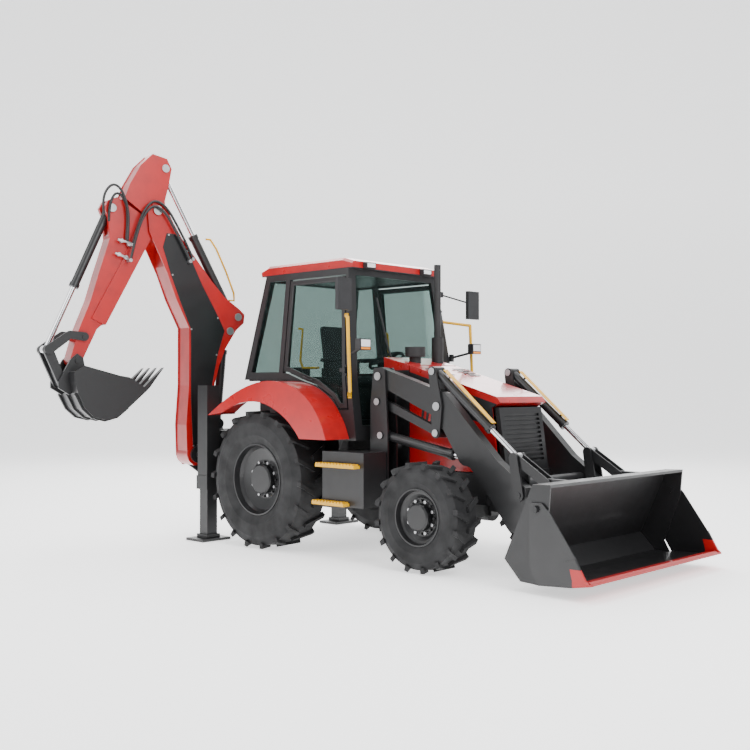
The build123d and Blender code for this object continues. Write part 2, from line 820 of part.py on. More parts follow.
GUIDE_BUSH = ARM_HALF + FACE_GAP
with BuildPart() as guide_pins:
    for across in (-1, 1):
        boss(side(across * ARM_Y), GUIDE_PIN, LOADER_PIN_R, GUIDE_BUSH + LEVER_T + 8)
save(guide_pins.part, "guide_pins")

with BuildPart() as bucket_pins:
    for across in (-1, 1):
        boss(side(across * ARM_Y), BUCKET_PIN, LOADER_PIN_R, GUIDE_BUSH + LEVER_T + 8)
save(bucket_pins.part, "bucket_pins")

with BuildPart() as guide_levers:
    for across in (-1, 1):
        for wall in (-1, 1):
            plate = side(across * ARM_Y + wall * (ARM_HALF + FACE_GAP + LEVER_T / 2))
            strap(plate, GUIDE_PIN, TILT_PIN, 52, 44, LEVER_T / 2)
            boss(plate, GUIDE_PIN, LOADER_PIN_R + PIN_GAP, LEVER_T, Mode.SUBTRACT)
            stub = side(across * ARM_Y + wall * (ARM_HALF + FACE_GAP + LEVER_T - 20))
            boss(stub, TILT_PIN, LOADER_PIN_R, 20)
save(guide_levers.part, "guide_levers")

with BuildPart() as bucket_links:
    for across in (-1, 1):
        for wall in (-1, 1):
            plate = side(across * ARM_Y + wall * 42)
            strap(plate, TILT_PIN, LINK_PIN, 42, 42, 7)
            boss(plate, TILT_PIN, LOADER_PIN_R + PIN_GAP, 20, Mode.SUBTRACT)
        middle = along(TILT_PIN, LINK_PIN, distance(TILT_PIN, LINK_PIN) * 0.55)
        boss(side(across * ARM_Y), middle, 24, 42)
save(bucket_links.part, "bucket_links")

BACK_OUT = BUCKET_HALF - BUCKET_WALL - BUCKET_GAP
with BuildPart() as bucket_back:
    slab(
        side(0),
        [(3662, 894), (3485, 889), (3205, 258), (3365, 88), (3540, 78), (3470, 200), (3640, 655)],
        BACK_OUT,
    )
    slab(
        side(0),
        [(3700, 870), (3496, 870), (3222, 262), (3372, 104), (3600, 92), (3800, 500)],
        BACK_OUT - BUCKET_WALL,
        Mode.SUBTRACT,
    )
    for across in (-1, 1):
        for wall in (-1, 1):
            plate = side(across * ARM_Y + wall * (GUIDE_BUSH + LEVER_T / 2))
            slab(plate, [(3120, 458), (3319, 500), (3223, 285), (3100, 345)], LEVER_T / 2)
            boss(plate, BUCKET_PIN, 60, LEVER_T / 2)
            boss(plate, BUCKET_PIN, LOADER_PIN_R + PIN_GAP, LEVER_T, Mode.SUBTRACT)
        ear = side(across * ARM_Y)
        slab(ear, [(3300, 892), (3487, 890), (3400, 690), (3290, 808)], EYE_HALF)
        boss(ear, LINK_PIN, 44, EYE_HALF)
        boss(side(across * (BACK_OUT + 12)), JAW_PIN, LOADER_PIN_R, 34)
save(bucket_back.part, "bucket_back")

with BuildPart() as bucket_jaw:
    slab(
        side(0),
        [
            (3470, 745),
            (3590, 745),
            (3660, 676),
            (3905, 330),
            (3998, 168),
            (4040, 130),
            (3863, 100),
            (3550, 80),
            (3470, 210),
        ],
        BUCKET_HALF,
    )
    slab(
        side(0),
        [(3300, 900), (4100, 900), (4100, 160), (4000, 140), (3860, 120), (3300, 92)],
        BUCKET_HALF - BUCKET_WALL,
        Mode.SUBTRACT,
    )
    for across in (-1, 1):
        boss(side(across * BUCKET_HALF), JAW_PIN, LOADER_PIN_R + PIN_GAP, 60, Mode.SUBTRACT)
        end = side(across * (BUCKET_HALF + 4))
        slab(end, [(3905, 330), (3998, 168), (4036, 134), (3880, 110), (3760, 104), (3800, 300)], 8)
    for bar_at in range(WEAR_BARS):
        middle = (bar_at - (WEAR_BARS - 1) / 2) * 2 * (BUCKET_HALF - 120) / (WEAR_BARS - 1)
        slab(side(middle), [(3560, 82), (3870, 103), (4030, 129), (3990, 112), (3860, 90), (3560, 68)], 30)
    slab(side(0), [(3890, 118), (4010, 138), (4046, 132), (3996, 156), (3890, 136)], BUCKET_HALF - 40)
save(bucket_jaw.part, "bucket_jaw")
# Side-shift frame and stabiliser sleeves

with BuildPart() as rear_frame:
    for low in (BEAM_LOW, BEAM_HIGH - 140):
        block((FRAME_BACK + 40, -LEG_Y, low), (RAIL_REAR - 30, LEG_Y, low + 140))
    for across in (-1, 1):
        edges = sorted((across * (LEG_Y - LEG_SLEEVE / 2), across * (LEG_Y + LEG_SLEEVE / 2)))
        block(
            (LEG_X - LEG_SLEEVE / 2, edges[0], LEG_SLEEVE_LOW),
            (LEG_X + LEG_SLEEVE / 2, edges[1], LEG_SLEEVE_TOP),
        )
        block(
            (LEG_X - LEG_SLEEVE / 2 - 9, edges[0] - 9, LEG_SLEEVE_LOW),
            (LEG_X + LEG_SLEEVE / 2 + 9, edges[1] + 9, LEG_SLEEVE_LOW + 150),
        )
        hole = LEG_TUBE / 2 + LEG_GAP
        block(
            (LEG_X - hole, across * LEG_Y - hole, LEG_SLEEVE_LOW - 10),
            (LEG_X + hole, across * LEG_Y + hole, LEG_SLEEVE_TOP - 20),
            Mode.SUBTRACT,
        )
        block(
            (RAIL_REAR - 30, across * RAIL_Y - RAIL_W / 2, BEAM_LOW),
            (RAIL_REAR, across * RAIL_Y + RAIL_W / 2, BEAM_HIGH),
        )
        block(
            (FRAME_BACK + 40, across * RAIL_Y - 50, BEAM_LOW + 140),
            (RAIL_REAR - 30, across * RAIL_Y + 50, BEAM_HIGH - 140),
        )
    for low in (BEAM_LOW + 40, BEAM_HIGH - 100):
        block((FRAME_BACK, -LEG_Y + 100, low), (FRAME_BACK + 40, LEG_Y - 100, low + 60))
save(rear_frame.part, "rear_frame")

for label, across in (("left", 1), ("right", -1)):
    with BuildPart() as leg:
        block(
            (LEG_X - LEG_TUBE / 2, across * LEG_Y - LEG_TUBE / 2, PAD_T),
            (LEG_X + LEG_TUBE / 2, across * LEG_Y + LEG_TUBE / 2, LEG_SLEEVE_TOP - 560),
        )
        block((LEG_X - 150, across * LEG_Y - 190, 0), (LEG_X + 150, across * LEG_Y + 190, PAD_T))
        block((LEG_X - 90, across * LEG_Y - 90, PAD_T), (LEG_X + 90, across * LEG_Y + 90, PAD_T + 40))
    save(leg.part, f"leg_{label}")

with BuildPart() as carriage:
    block(
        (FRAME_BACK - 45, SHIFT_Y - CARRIAGE_HALF, BEAM_LOW - 10),
        (FRAME_BACK - FACE_GAP, SHIFT_Y + CARRIAGE_HALF, BEAM_HIGH + 10),
    )
    for low in (BEAM_LOW + 40, BEAM_HIGH - 100):
        for hook in (low - 30 - SEAT_GAP, low + 60 + SEAT_GAP):
            block(
                (FRAME_BACK - 20, SHIFT_Y - CARRIAGE_HALF, hook),
                (FRAME_BACK + 30, SHIFT_Y + CARRIAGE_HALF, hook + 30),
            )
    for low in (KING_LUG_LOW + KING_LUG_T + FACE_GAP, KING_LUG_TOP - 2 * KING_LUG_T - FACE_GAP):
        with BuildSketch(Plane.XY.offset(low)):
            with Locations((SHIFT_X, SHIFT_Y)):
                Circle(KING_R)
            with Locations(((SHIFT_X + FRAME_BACK - 30) / 2, SHIFT_Y)):
                Rectangle(abs(SHIFT_X - FRAME_BACK + 30), 2 * KING_R)
        extrude(amount=KING_LUG_T)
    with BuildSketch(Plane.XY.offset(BEAM_LOW - 20)):
        with Locations((SHIFT_X, SHIFT_Y)):
            Circle(KING_PIN_R + PIN_GAP)
    extrude(amount=900, mode=Mode.SUBTRACT)
save(carriage.part, "carriage")

with BuildPart() as kingpost:
    slab(
        hoe(),
        [
            (110, KING_LUG_LOW),
            (210, KING_LUG_LOW),
            (210, KING_LUG_TOP),
            (110, KING_LUG_TOP),
        ],
        BOOM_HALF + FACE_GAP + 30,
    )
    for low in (KING_LUG_LOW, KING_LUG_TOP - KING_LUG_T):
        with BuildSketch(Plane.XY.offset(low)):
            with Locations((SHIFT_X, SHIFT_Y)):
                Circle(KING_R)
        extrude(amount=KING_LUG_T)
        slab(hoe(), [(0, low), (130, low), (130, low + KING_LUG_T), (0, low + KING_LUG_T)], KING_R)
    with BuildSketch(Plane.XY.offset(KING_LUG_LOW)):
        with Locations((SHIFT_X, SHIFT_Y)):
            Circle(KING_PIN_R)
    extrude(amount=KING_LUG_TOP - KING_LUG_LOW)
    for wall in (-1, 1):
        plate = hoe(wall * (BOOM_HALF + FACE_GAP + 15))
        slab(plate, [(150, 640), (380, 810), (470, 900), (400, 1030), (150, 1130)], 15, radius=20)
        boss(plate, BOOM_FOOT, 95, 15)
        lug = hoe(wall * (EYE_HALF + 20 + 15))
        slab(lug, [(10, KING_LUG_TOP - 20), (150, KING_LUG_TOP - 20), (110, 1290), (40, 1310)], 12)
        boss(lug, BOOM_RAM_BASE, 58, 12)
    boss(hoe(), BOOM_FOOT, BOOM_PIN_R, BOOM_HALF + FACE_GAP + 45)
    boss(hoe(), BOOM_RAM_BASE, HOE_PIN_R, EYE_HALF + 70)
save(kingpost.part, "kingpost")

# Boom

BOOM_OUTLINE = [
    (300, 800),
    (430, 790),
    (510, 900),
    (522, 1250),
    (490, 1700),
    (490, 2350),
    (648, 2667),
    (761, 2960),
    (975, 3400),
    (995, 3620),
    (900, 3755),
    (800, 3740),
    (688, 3524),
    (575, 3345),
    (412, 3149),
    (208, 2901),
    (40, 2720),
    (-150, 2595),
    (-225, 2530),
    (-215, 2430),
    (-112, 2340),
    (28, 2123),
    (107, 1928),
    (166, 1716),
    (230, 1300),
    (250, 1000),
]
with BuildPart() as boom:
    for wall in (-1, 1):
        plate = hoe(wall * (BOOM_HALF - BOOM_PLATE / 2))
        slab(plate, BOOM_OUTLINE, BOOM_PLATE / 2, radius=12)
    slab(
        hoe(),
        [
            (300, 820),
            (420, 800),
            (500, 900),
            (510, 1250),
            (478, 1700),
            (478, 2355),
            (636, 2670),
            (780, 3030),
            (770, 3290),
            (620, 3280),
            (480, 3130),
            (330, 2860),
            (240, 2500),
            (200, 2000),
            (240, 1300),
            (262, 1000),
        ],
        BOOM_HALF - 4,
    )
    boss(hoe(), BOOM_FOOT, 128, BOOM_HALF)
    boss(hoe(), BOOM_FOOT, BOOM_PIN_R + PIN_GAP, 300, Mode.SUBTRACT)
    boss(hoe(), BOOM_TIP, BOOM_PIN_R, BOOM_HALF + 12)
    boss(hoe(), DIPPER_RAM_BASE, HOE_PIN_R, BOOM_HALF + 6)
    for wall in (-1, 1):
        boss(hoe(wall * (BOOM_HALF - 8)), BOOM_RAM_PIN, HOE_PIN_R + 14, 14)
save(boom.part, "boom")

# Dipper and sliding stick, measured along the dipper from its pivot


def dipper_plane(offset=0):
    """Side view plane of the dipper: local x down to the bucket pin, local y outward."""
    plane = hoe(offset)
    start = plane.from_local_coords(Vector(BOOM_TIP[0], BOOM_TIP[1], 0))
    end = plane.from_local_coords(Vector(HOE_PIN[0], HOE_PIN[1], 0))
    return Plane(origin=start, x_dir=end - start, z_dir=plane.z_dir)


DIPPER_LEN = distance(BOOM_TIP, HOE_PIN)


def on_dipper(point):
    """A point of the arm's side view, seen in the dipper's own view."""
    way = radians(heading(BOOM_TIP, HOE_PIN))
    step = (point[0] - BOOM_TIP[0], point[1] - BOOM_TIP[1])
    return (step[0] * cos(way) + step[1] * sin(way), -step[0] * sin(way) + step[1] * cos(way))


DIP_RAM = on_dipper(DIPPER_RAM_PIN)
RAM_EYE = on_dipper(BUCKET_RAM_BASE)
ROCKER_AT = on_dipper(ROCKER_PIN)
ROCKER_TO = on_dipper(ROCKER_END)
LINK_TO = on_dipper(HOE_LINK)

with BuildPart() as dipper:
    for wall in (-1, 1):
        plate = dipper_plane(wall * (DIPPER_HALF - DIPPER_PLATE / 2))
        slab(
            plate,
            [
                (-585, 170),
                (-532, 340),
                (-347, 395),
                (-97, 402),
                (80, 380),
                (110, 120),
                (700, 72),
                (1430, 72),
                (1418, -98),
                (642, -95),
                (120, -88),
                (-60, -95),
                (-152, -34),
                (-330, 10),
                (-517, 69),
            ],
            DIPPER_PLATE / 2,
            radius=14,
        )
    slab(dipper_plane(), [(130, -96), (1418, -96), (1418, -84), (130, -84)], DIPPER_HALF - 4)
    slab(dipper_plane(), [
        (-540, 330),
        (-347, 385),
        (-97, 392),
        (70, 372),
        (70, 360),
        (-97, 380),
        (-345, 373),
        (-534, 318),
    ], DIPPER_HALF - 4)
    boss(dipper_plane(), (0, 0), 85, DIPPER_HALF)
    boss(dipper_plane(), (0, 0), BOOM_PIN_R + PIN_GAP, 200, Mode.SUBTRACT)
    for wall in (-1, 1):
        boss(dipper_plane(wall * (DIPPER_HALF - 6)), DIP_RAM, HOE_PIN_R + 14, 12)
        inner = DIPPER_HALF - DIPPER_PLATE
        half = (inner - STICK_HALF - SEAT_GAP) / 2
        for start in (320, 1250):
            pad = [(start, -60), (start + 150, -60), (start + 150, 50), (start, 50)]
            slab(dipper_plane(wall * (inner - half)), pad, half)
save(dipper.part, "dipper")

with BuildPart() as stick:
    slab(
        dipper_plane(),
        [
            (130, -78),
            (1400, -78),
            (1500, -40),
            (DIPPER_LEN - 10, -60),
            (DIPPER_LEN + 30, 60),
            (1616, 129),
            (1261, 168),
            (945, 233),
            (560, 305),
            (366, 431),
            (300, 520),
            (210, 520),
            (120, 450),
        ],
        STICK_HALF,
    )
    boss(dipper_plane(), (DIPPER_LEN, 0), 64, STICK_HALF)
    slab(
        dipper_plane(),
        [(60, 640), (120, 395), (330, 375), (460, 330), (700, 300), (700, 640)],
        EYE_HALF + 22,
        Mode.SUBTRACT,
    )
    boss(dipper_plane(), RAM_EYE, HOE_PIN_R, STICK_HALF + 10)
    for pin in (ROCKER_AT, (DIPPER_LEN, 0)):
        boss(dipper_plane(), pin, HOE_PIN_R + PIN_GAP, 200, Mode.SUBTRACT)
save(stick.part, "stick")

# Digging arm cylinders and bucket linkage

with BuildPart() as boom_barrel:
    ram_barrel(hoe(), BOOM_RAM_BASE, BOOM_RAM_PIN, 860, HOE_BARREL_R, HOE_ROD_R, 52, EYE_HALF + 12, HOE_PIN_R)
save(boom_barrel.part, "boom_barrel")

with BuildPart() as boom_rod:
    ram_rod(hoe(), BOOM_RAM_BASE, BOOM_RAM_PIN, 130, HOE_ROD_R, 48, EYE_HALF + 12)
save(boom_rod.part, "boom_rod")

with BuildPart() as dipper_barrel:
    ram_barrel(
        hoe(), DIPPER_RAM_BASE, DIPPER_RAM_PIN, 1060, HOE_BARREL_R, HOE_ROD_R, 56, EYE_HALF + 12, HOE_PIN_R
    )
save(dipper_barrel.part, "dipper_barrel")

with BuildPart() as dipper_rod:
    ram_rod(hoe(), DIPPER_RAM_BASE, DIPPER_RAM_PIN, 960, HOE_ROD_R, 50, EYE_HALF + 12)
save(dipper_rod.part, "dipper_rod")

with BuildPart() as bucket_barrel:
    ram_barrel(
        hoe(), BUCKET_RAM_BASE, ROCKER_END, 960, HOE_BARREL_R - 4, HOE_ROD_R, 50, EYE_HALF + 12, HOE_PIN_R
    )
save(bucket_barrel.part, "bucket_barrel")

with BuildPart() as bucket_rod:
    ram_rod(hoe(), BUCKET_RAM_BASE, ROCKER_END, 700, HOE_ROD_R, 46, EYE_HALF + 12)
save(bucket_rod.part, "bucket_rod")

with BuildPart() as rocker:
    for wall in (-1, 1):
        plate = hoe(wall * (ROCKER_IN + ROCKER_T / 2))
        middle = (1860, 2235)
        strap(plate, ROCKER_PIN, middle, 46, 42, ROCKER_T / 2)
        strap(plate, middle, ROCKER_END, 42, 50, ROCKER_T / 2)
        stub = hoe(wall * (LINK_IN + 30))
        boss(stub, ROCKER_END, HOE_PIN_R, 33)
    boss(hoe(), ROCKER_PIN, HOE_PIN_R, ROCKER_IN + ROCKER_T + 8)
save(rocker.part, "rocker")

with BuildPart() as bucket_link:
    for wall in (-1, 1):
        plate = hoe(wall * (LINK_IN + LINK_OUT) / 2)
        strap(plate, ROCKER_END, HOE_LINK, 52, 46, (LINK_OUT - LINK_IN) / 2)
        boss(plate, ROCKER_END, HOE_PIN_R + PIN_GAP, 40, Mode.SUBTRACT)
    web = along(ROCKER_END, HOE_LINK, distance(ROCKER_END, HOE_LINK) * 0.62)
    strap(hoe(), web, HOE_LINK, 26, 26, LINK_OUT - 4)
save(bucket_link.part, "bucket_link")

with BuildPart() as hoe_bucket:
    slab(
        hoe(),
        [
            (1879, 1839),
            (1870, 1740),
            (1837, 1616),
            (1762, 1456),
            (1662, 1365),
            (1527, 1331),
            (1390, 1368),
            (1269, 1466),
            (1060, 1650),
            (1085, 1672),
            (1270, 1787),
            (1374, 1803),
            (1764, 1905),
        ],
        HOE_BUCKET_HALF,
    )
    slab(
        hoe(),
        [
            (1862, 1850),
            (1854, 1745),
            (1821, 1622),
            (1750, 1470),
            (1656, 1381),
            (1527, 1347),
            (1398, 1382),
            (1278, 1480),
            (1000, 1722),
            (1100, 2100),
            (1862, 2100),
        ],
        HOE_BUCKET_HALF - HOE_WALL,
        Mode.SUBTRACT,
    )
    for rib in (-1, 0, 1):
        slab(
            hoe(rib * (HOE_BUCKET_HALF - 60)),
            [
                (1837, 1622), (1860, 1600), (1778, 1442), (1670, 1348), (1527, 1313), (1384, 1350), (1260, 1450),
                (1272, 1468), (1392, 1368), (1527, 1333), (1660, 1366), (1760, 1458),
            ],
            16,
        )
    for tooth in range(TEETH):
        spot = (tooth - (TEETH - 1) / 2) * (2 * HOE_BUCKET_HALF - 70) / (TEETH - 1)
        slab(hoe(spot), [(1190, 1536), (1040, 1668), (868, 1896), (1020, 1760), (1200, 1580)], 32)
    for wall in (-1, 1):
        plate = hoe(wall * (ROCKER_IN + 14))
        slab(plate, [
            (1784, 2035),
            (1860, 1970),
            (1985, 1740),
            (1985, 1670),
            (1870, 1600),
            (1800, 1640),
            (1700, 1895),
            (1720, 1990),
        ], 14)
        boss(plate, HOE_LINK, 58, 14)
    boss(hoe(), HOE_PIN, HOE_PIN_R, ROCKER_IN + 40)
save(hoe_bucket.part, "hoe_bucket")

# Fenders, side boxes, steps and rails

FENDER_TOP = [
    (1080, 1165),
    (1010, 1340),
    (840, 1560),
    (600, 1690),
    (387, 1742),
    (100, 1745),
    (-250, 1650),
    (-560, 1500),
    (-765, 1375),
]
FENDER_LINING = [
    (1050, 1100),
    (990, 1336),
    (828, 1546),
    (594, 1676),
    (384, 1728),
    (102, 1731),
    (-244, 1637),
    (-552, 1487),
    (-700, 1395),
]
FENDER_UNDER = [(-560, 1400), (-217, 1528), (161, 1530), (477, 1384), (640, 1240), (700, 1165)]
with BuildPart() as fenders:
    for across in (-1, 1):
        middle = across * (FENDER_IN + FENDER_OUT) / 2
        half = (FENDER_OUT - FENDER_IN) / 2
        slab(side(middle), rounded(FENDER_TOP) + rounded(FENDER_UNDER), half)
        slab(
            side(middle - across * (FENDER_SHEET + 10)),
            rounded(FENDER_LINING) + [(-560, 1300), (640, 1100)],
            half - 5,
            Mode.SUBTRACT,
        )
with BuildPart() as body_panels:
    add(cowl.part)
    add(fenders.part)
save(body_panels.part, "body_panels")

with BuildPart() as side_boxes:
    for across in (-1, 1):
        edges = sorted((across * STEP_BOX_IN, across * STEP_BOX_OUT))
        block((905, edges[0], 500), (1225, edges[1], 1050))
        outer = sorted((across * 680, across * STEP_BOX_OUT))
        block((1200, outer[0], 520), (1470, outer[1], 1050))
        edges = sorted((across * (RAIL_Y + RAIL_W / 2), across * (STEP_BOX_IN + 20)))
        block((940, edges[0], 660), (1060, edges[1], 760))
save(side_boxes.part, "side_boxes")

with BuildPart() as steps:
    for across in (-1, 1):
        edges = sorted((across * STEP_BOX_OUT, across * STEP_REACH))
        for low, start, end in ((900, 888, 1420), (530, 840, 1280)):
            block((start, edges[0], low), (end, edges[1], low + 30))
            for tooth in range(int((end - start) / STEP_PITCH)):
                left = start + 6 + tooth * STEP_PITCH
                block((left, edges[0], low + 28), (left + STEP_PITCH / 2, edges[1], low + 42))

# Doors

with BuildPart() as door_shell:
    add(cab_body(0, 0))
    add(cab_body(0, CAB_WALL - 10), mode=Mode.SUBTRACT)
for label, across in (("left", 1), ("right", -1)):
    with BuildPart() as door:
        add(door_shell.part)
        slab(side(across * 750), DOOR, 200, Mode.INTERSECT)
        slab(side(across * 750), DOOR_PANE, 300, Mode.SUBTRACT)
        for height in HINGE_HEIGHTS:
            foot = hinge_axis(across, height - HINGE_LEN + 4)
            head = hinge_axis(across, height + HINGE_LEN - 4)
            middle = hinge_axis(across, height)
            bar(foot, head, 13)
            block(
                (middle[0] - 60, middle[1] - 18 if across > 0 else middle[1] - 8, height - 20),
                (middle[0], middle[1] + 8 if across > 0 else middle[1] + 18, height + 20),
            )
            bar(
                hinge_axis(across, height - HINGE_LEN - 40),
                hinge_axis(across, height + HINGE_LEN + 40),
                HINGE_PIN_R + PIN_GAP,
                Mode.SUBTRACT,
            )
    save(door.part, f"door_{label}")
    sheets = pane(DOOR_PANE, side(0), 0, GLASS_IN).solids().sort_by(Axis.Y)
    save(sheets[-1] if across > 0 else sheets[0], f"door_glass_{label}")

# Seat, steering column, lamps, mirrors and rails

with BuildPart() as seat:
    block((180, -170, TUB_FLOOR + SEAT_GAP), (520, 170, SEAT_Z - 110))
    block((110, -240, SEAT_Z - 110), (600, 240, SEAT_Z))
    slab(side(0), [
        (110, SEAT_Z - 60),
        (220, SEAT_Z - 20),
        (110, SEAT_Z + 560),
        (20, SEAT_Z + 560),
    ], 230, radius=20)
    for across in (-1, 1):
        block((130, across * 275 - 30, SEAT_Z + 150), (460, across * 275 + 30, SEAT_Z + 200))
        block((150, across * 240 - 25, SEAT_Z - 60), (200, across * 240 + 25, SEAT_Z + 160))
save(seat.part, "seat")

with BuildPart() as steering:
    block((930, -70, CAB_FLOOR + CAB_WALL + SEAT_GAP), (1070, 70, CAB_FLOOR + CAB_WALL + 60))
    bar((1000, 0, CAB_FLOOR + CAB_WALL + 30), (880, 0, 1800), 55)
    bar((880, 0, 1800), (846, 0, 1960), 22)
    hub = Plane(origin=(846, 0, 1960), z_dir=(-0.42, 0, 0.9))
    with BuildSketch(hub) as ring:
        Circle(WHEEL_R)
        Circle(WHEEL_R - 26, mode=Mode.SUBTRACT)
        Circle(42)
        with PolarLocations(WHEEL_R / 2, 3):
            Rectangle(WHEEL_R - 20, 28)
    extrude(ring.sketch, amount=12, both=True)
    block((-340, -300, TUB_FLOOR + SEAT_GAP), (-150, -180, 1900))
    block((-340, 180, TUB_FLOOR + SEAT_GAP), (-150, 300, 1900))
save(steering.part, "controls")

with BuildPart() as lamps:
    for across in (-1, 1):
        block((1310, across * 874 - 75, 2040), (1375, across * 874 + 75, 2150))
        bar((1320, across * 874, 2060), (1075, across * 792, 2000), 13)
        block((1062, across * 800 - 20, 1960), (1100, across * 800 + 20, 2040))
        block((990, across * 440 - 70, 2890.8), (1040, across * 440 + 70, 2953))
        block((1190, across * 1009 - 95, 2430), (1230, across * 1009 + 95, 2740))
        bar((1205, across * 1009, 2600), (990, across * 722, 2700), 9)
        block((960, across * 727 - 20, 2670), (1010, across * 727 + 20, 2730))
save(lamps.part, "lamps_mirrors")

with BuildPart() as rails:
    add(steps.part)
    for across in (-1, 1):
        feet = sorted((across * (CAB_HALF_LOW + SEAT_GAP), across * (CAB_HALF_LOW + 14)))
        block((1072, feet[0], 1570), (1112, feet[1], 1630))
        heads = sorted((across * 736.5, across * 754))
        block((970, heads[0], 2380), (1006, heads[1], 2420))
        path = [
            (1095, across * 819, 1600),
            (1250, across * 960, 1640),
            (1215, across * 960, 2360),
            (990, across * 758, 2400),
        ]
        for start, end in zip(path, path[1:]):
            bar(start, end, RAIL_R)
        for joint in path[1:-1]:
            with Locations(joint):
                Sphere(RAIL_R)
save(rails.part, "steps_rails")
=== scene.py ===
"""Looks of a backhoe loader: finishes, trim, soft pieces, studio and camera."""

import logging
import math
from dataclasses import dataclass
from enum import Enum
from typing import Sequence

import bmesh
import bpy
from mathutils import Matrix, Vector


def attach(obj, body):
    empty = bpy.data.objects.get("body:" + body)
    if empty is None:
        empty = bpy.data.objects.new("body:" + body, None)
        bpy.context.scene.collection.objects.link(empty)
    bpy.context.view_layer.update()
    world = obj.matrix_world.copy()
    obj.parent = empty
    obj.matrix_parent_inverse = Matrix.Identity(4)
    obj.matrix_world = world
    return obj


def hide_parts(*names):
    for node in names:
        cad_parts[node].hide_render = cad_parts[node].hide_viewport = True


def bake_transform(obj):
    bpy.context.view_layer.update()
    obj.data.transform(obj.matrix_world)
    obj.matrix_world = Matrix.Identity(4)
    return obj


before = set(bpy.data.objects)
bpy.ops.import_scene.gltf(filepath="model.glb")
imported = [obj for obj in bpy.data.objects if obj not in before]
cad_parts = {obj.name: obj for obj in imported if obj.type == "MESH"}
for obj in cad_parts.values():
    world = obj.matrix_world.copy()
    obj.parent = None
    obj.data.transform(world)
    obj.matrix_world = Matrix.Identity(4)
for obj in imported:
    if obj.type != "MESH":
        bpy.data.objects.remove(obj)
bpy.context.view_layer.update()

logging.basicConfig(level=logging.INFO, format="%(message)s")
log = logging.getLogger("loader")

Point = tuple[float, float, float]
Colour = tuple[float, float, float]
MIDDLE = (1020.0, -690.0)
SWING = math.radians(80)
SHIFT = (-1320.0, -500.0)
ARM_Y = 600.0
SIDE_HALF = 800.0
ROOF_HALF = 672.0
WAIST = 1760.0
CAB_PEAK = 3000.0
HOSE_R = 0.014
PIPE_R = 0.008
BOOM_FACE = 145.3
COVER_THICK = 5
BONNET_HALF = 370
NUTS = 8
SEAT_CUTS = 15
EYE = (7.393, -7.510, 1.674)
EYE_TURN = math.radians(43.334)
EYE_TILT = math.radians(90.694)
LENS_MM = 50.42


def at(x: float, y: float, z: float) -> Vector:
    """Point of the machine, given in millimetres from the rear axle's middle.

    Args:
        x: Distance forward.
        y: Distance to the left.
        z: Height.

    Returns:
        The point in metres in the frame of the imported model.
    """
    return Vector(((x - MIDDLE[0]) / 1000, (y - MIDDLE[1]) / 1000, z / 1000))


def hoe(out: float, up: float, across: float = 0.0) -> Vector:
    """Point of the digging arm, given in the plane that the arm is swung to.

    Args:
        out: Distance outward from the swing post.
        up: Height.
        across: Distance from the arm's middle plane.

    Returns:
        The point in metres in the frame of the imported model.
    """
    x = SHIFT[0] - math.cos(SWING) * out - math.sin(SWING) * across
    y = SHIFT[1] - math.sin(SWING) * out + math.cos(SWING) * across
    return at(x, y, up)


class Body(Enum):
    """Moving bodies that carry trim."""

    CHASSIS = "chassis"
    BONNET = "bonnet"
    ARMS = "loader_arms"
    LEVERS = "levers"
    TILT = "tilt_barrels"
    BOOM = "boom"
    DIPPER = "dipper"
    STICK = "stick"
    DIPPER_RAM = "dipper_barrel"
    DOOR_LEFT = "door_left"
    DOOR_RIGHT = "door_right"


@dataclass(frozen=True)
class Zone:
    """Part of a finish in another colour, bounded by planes."""

    colour: Colour
    planes: tuple[tuple[Point, float], ...]
    rough: float = 0.5


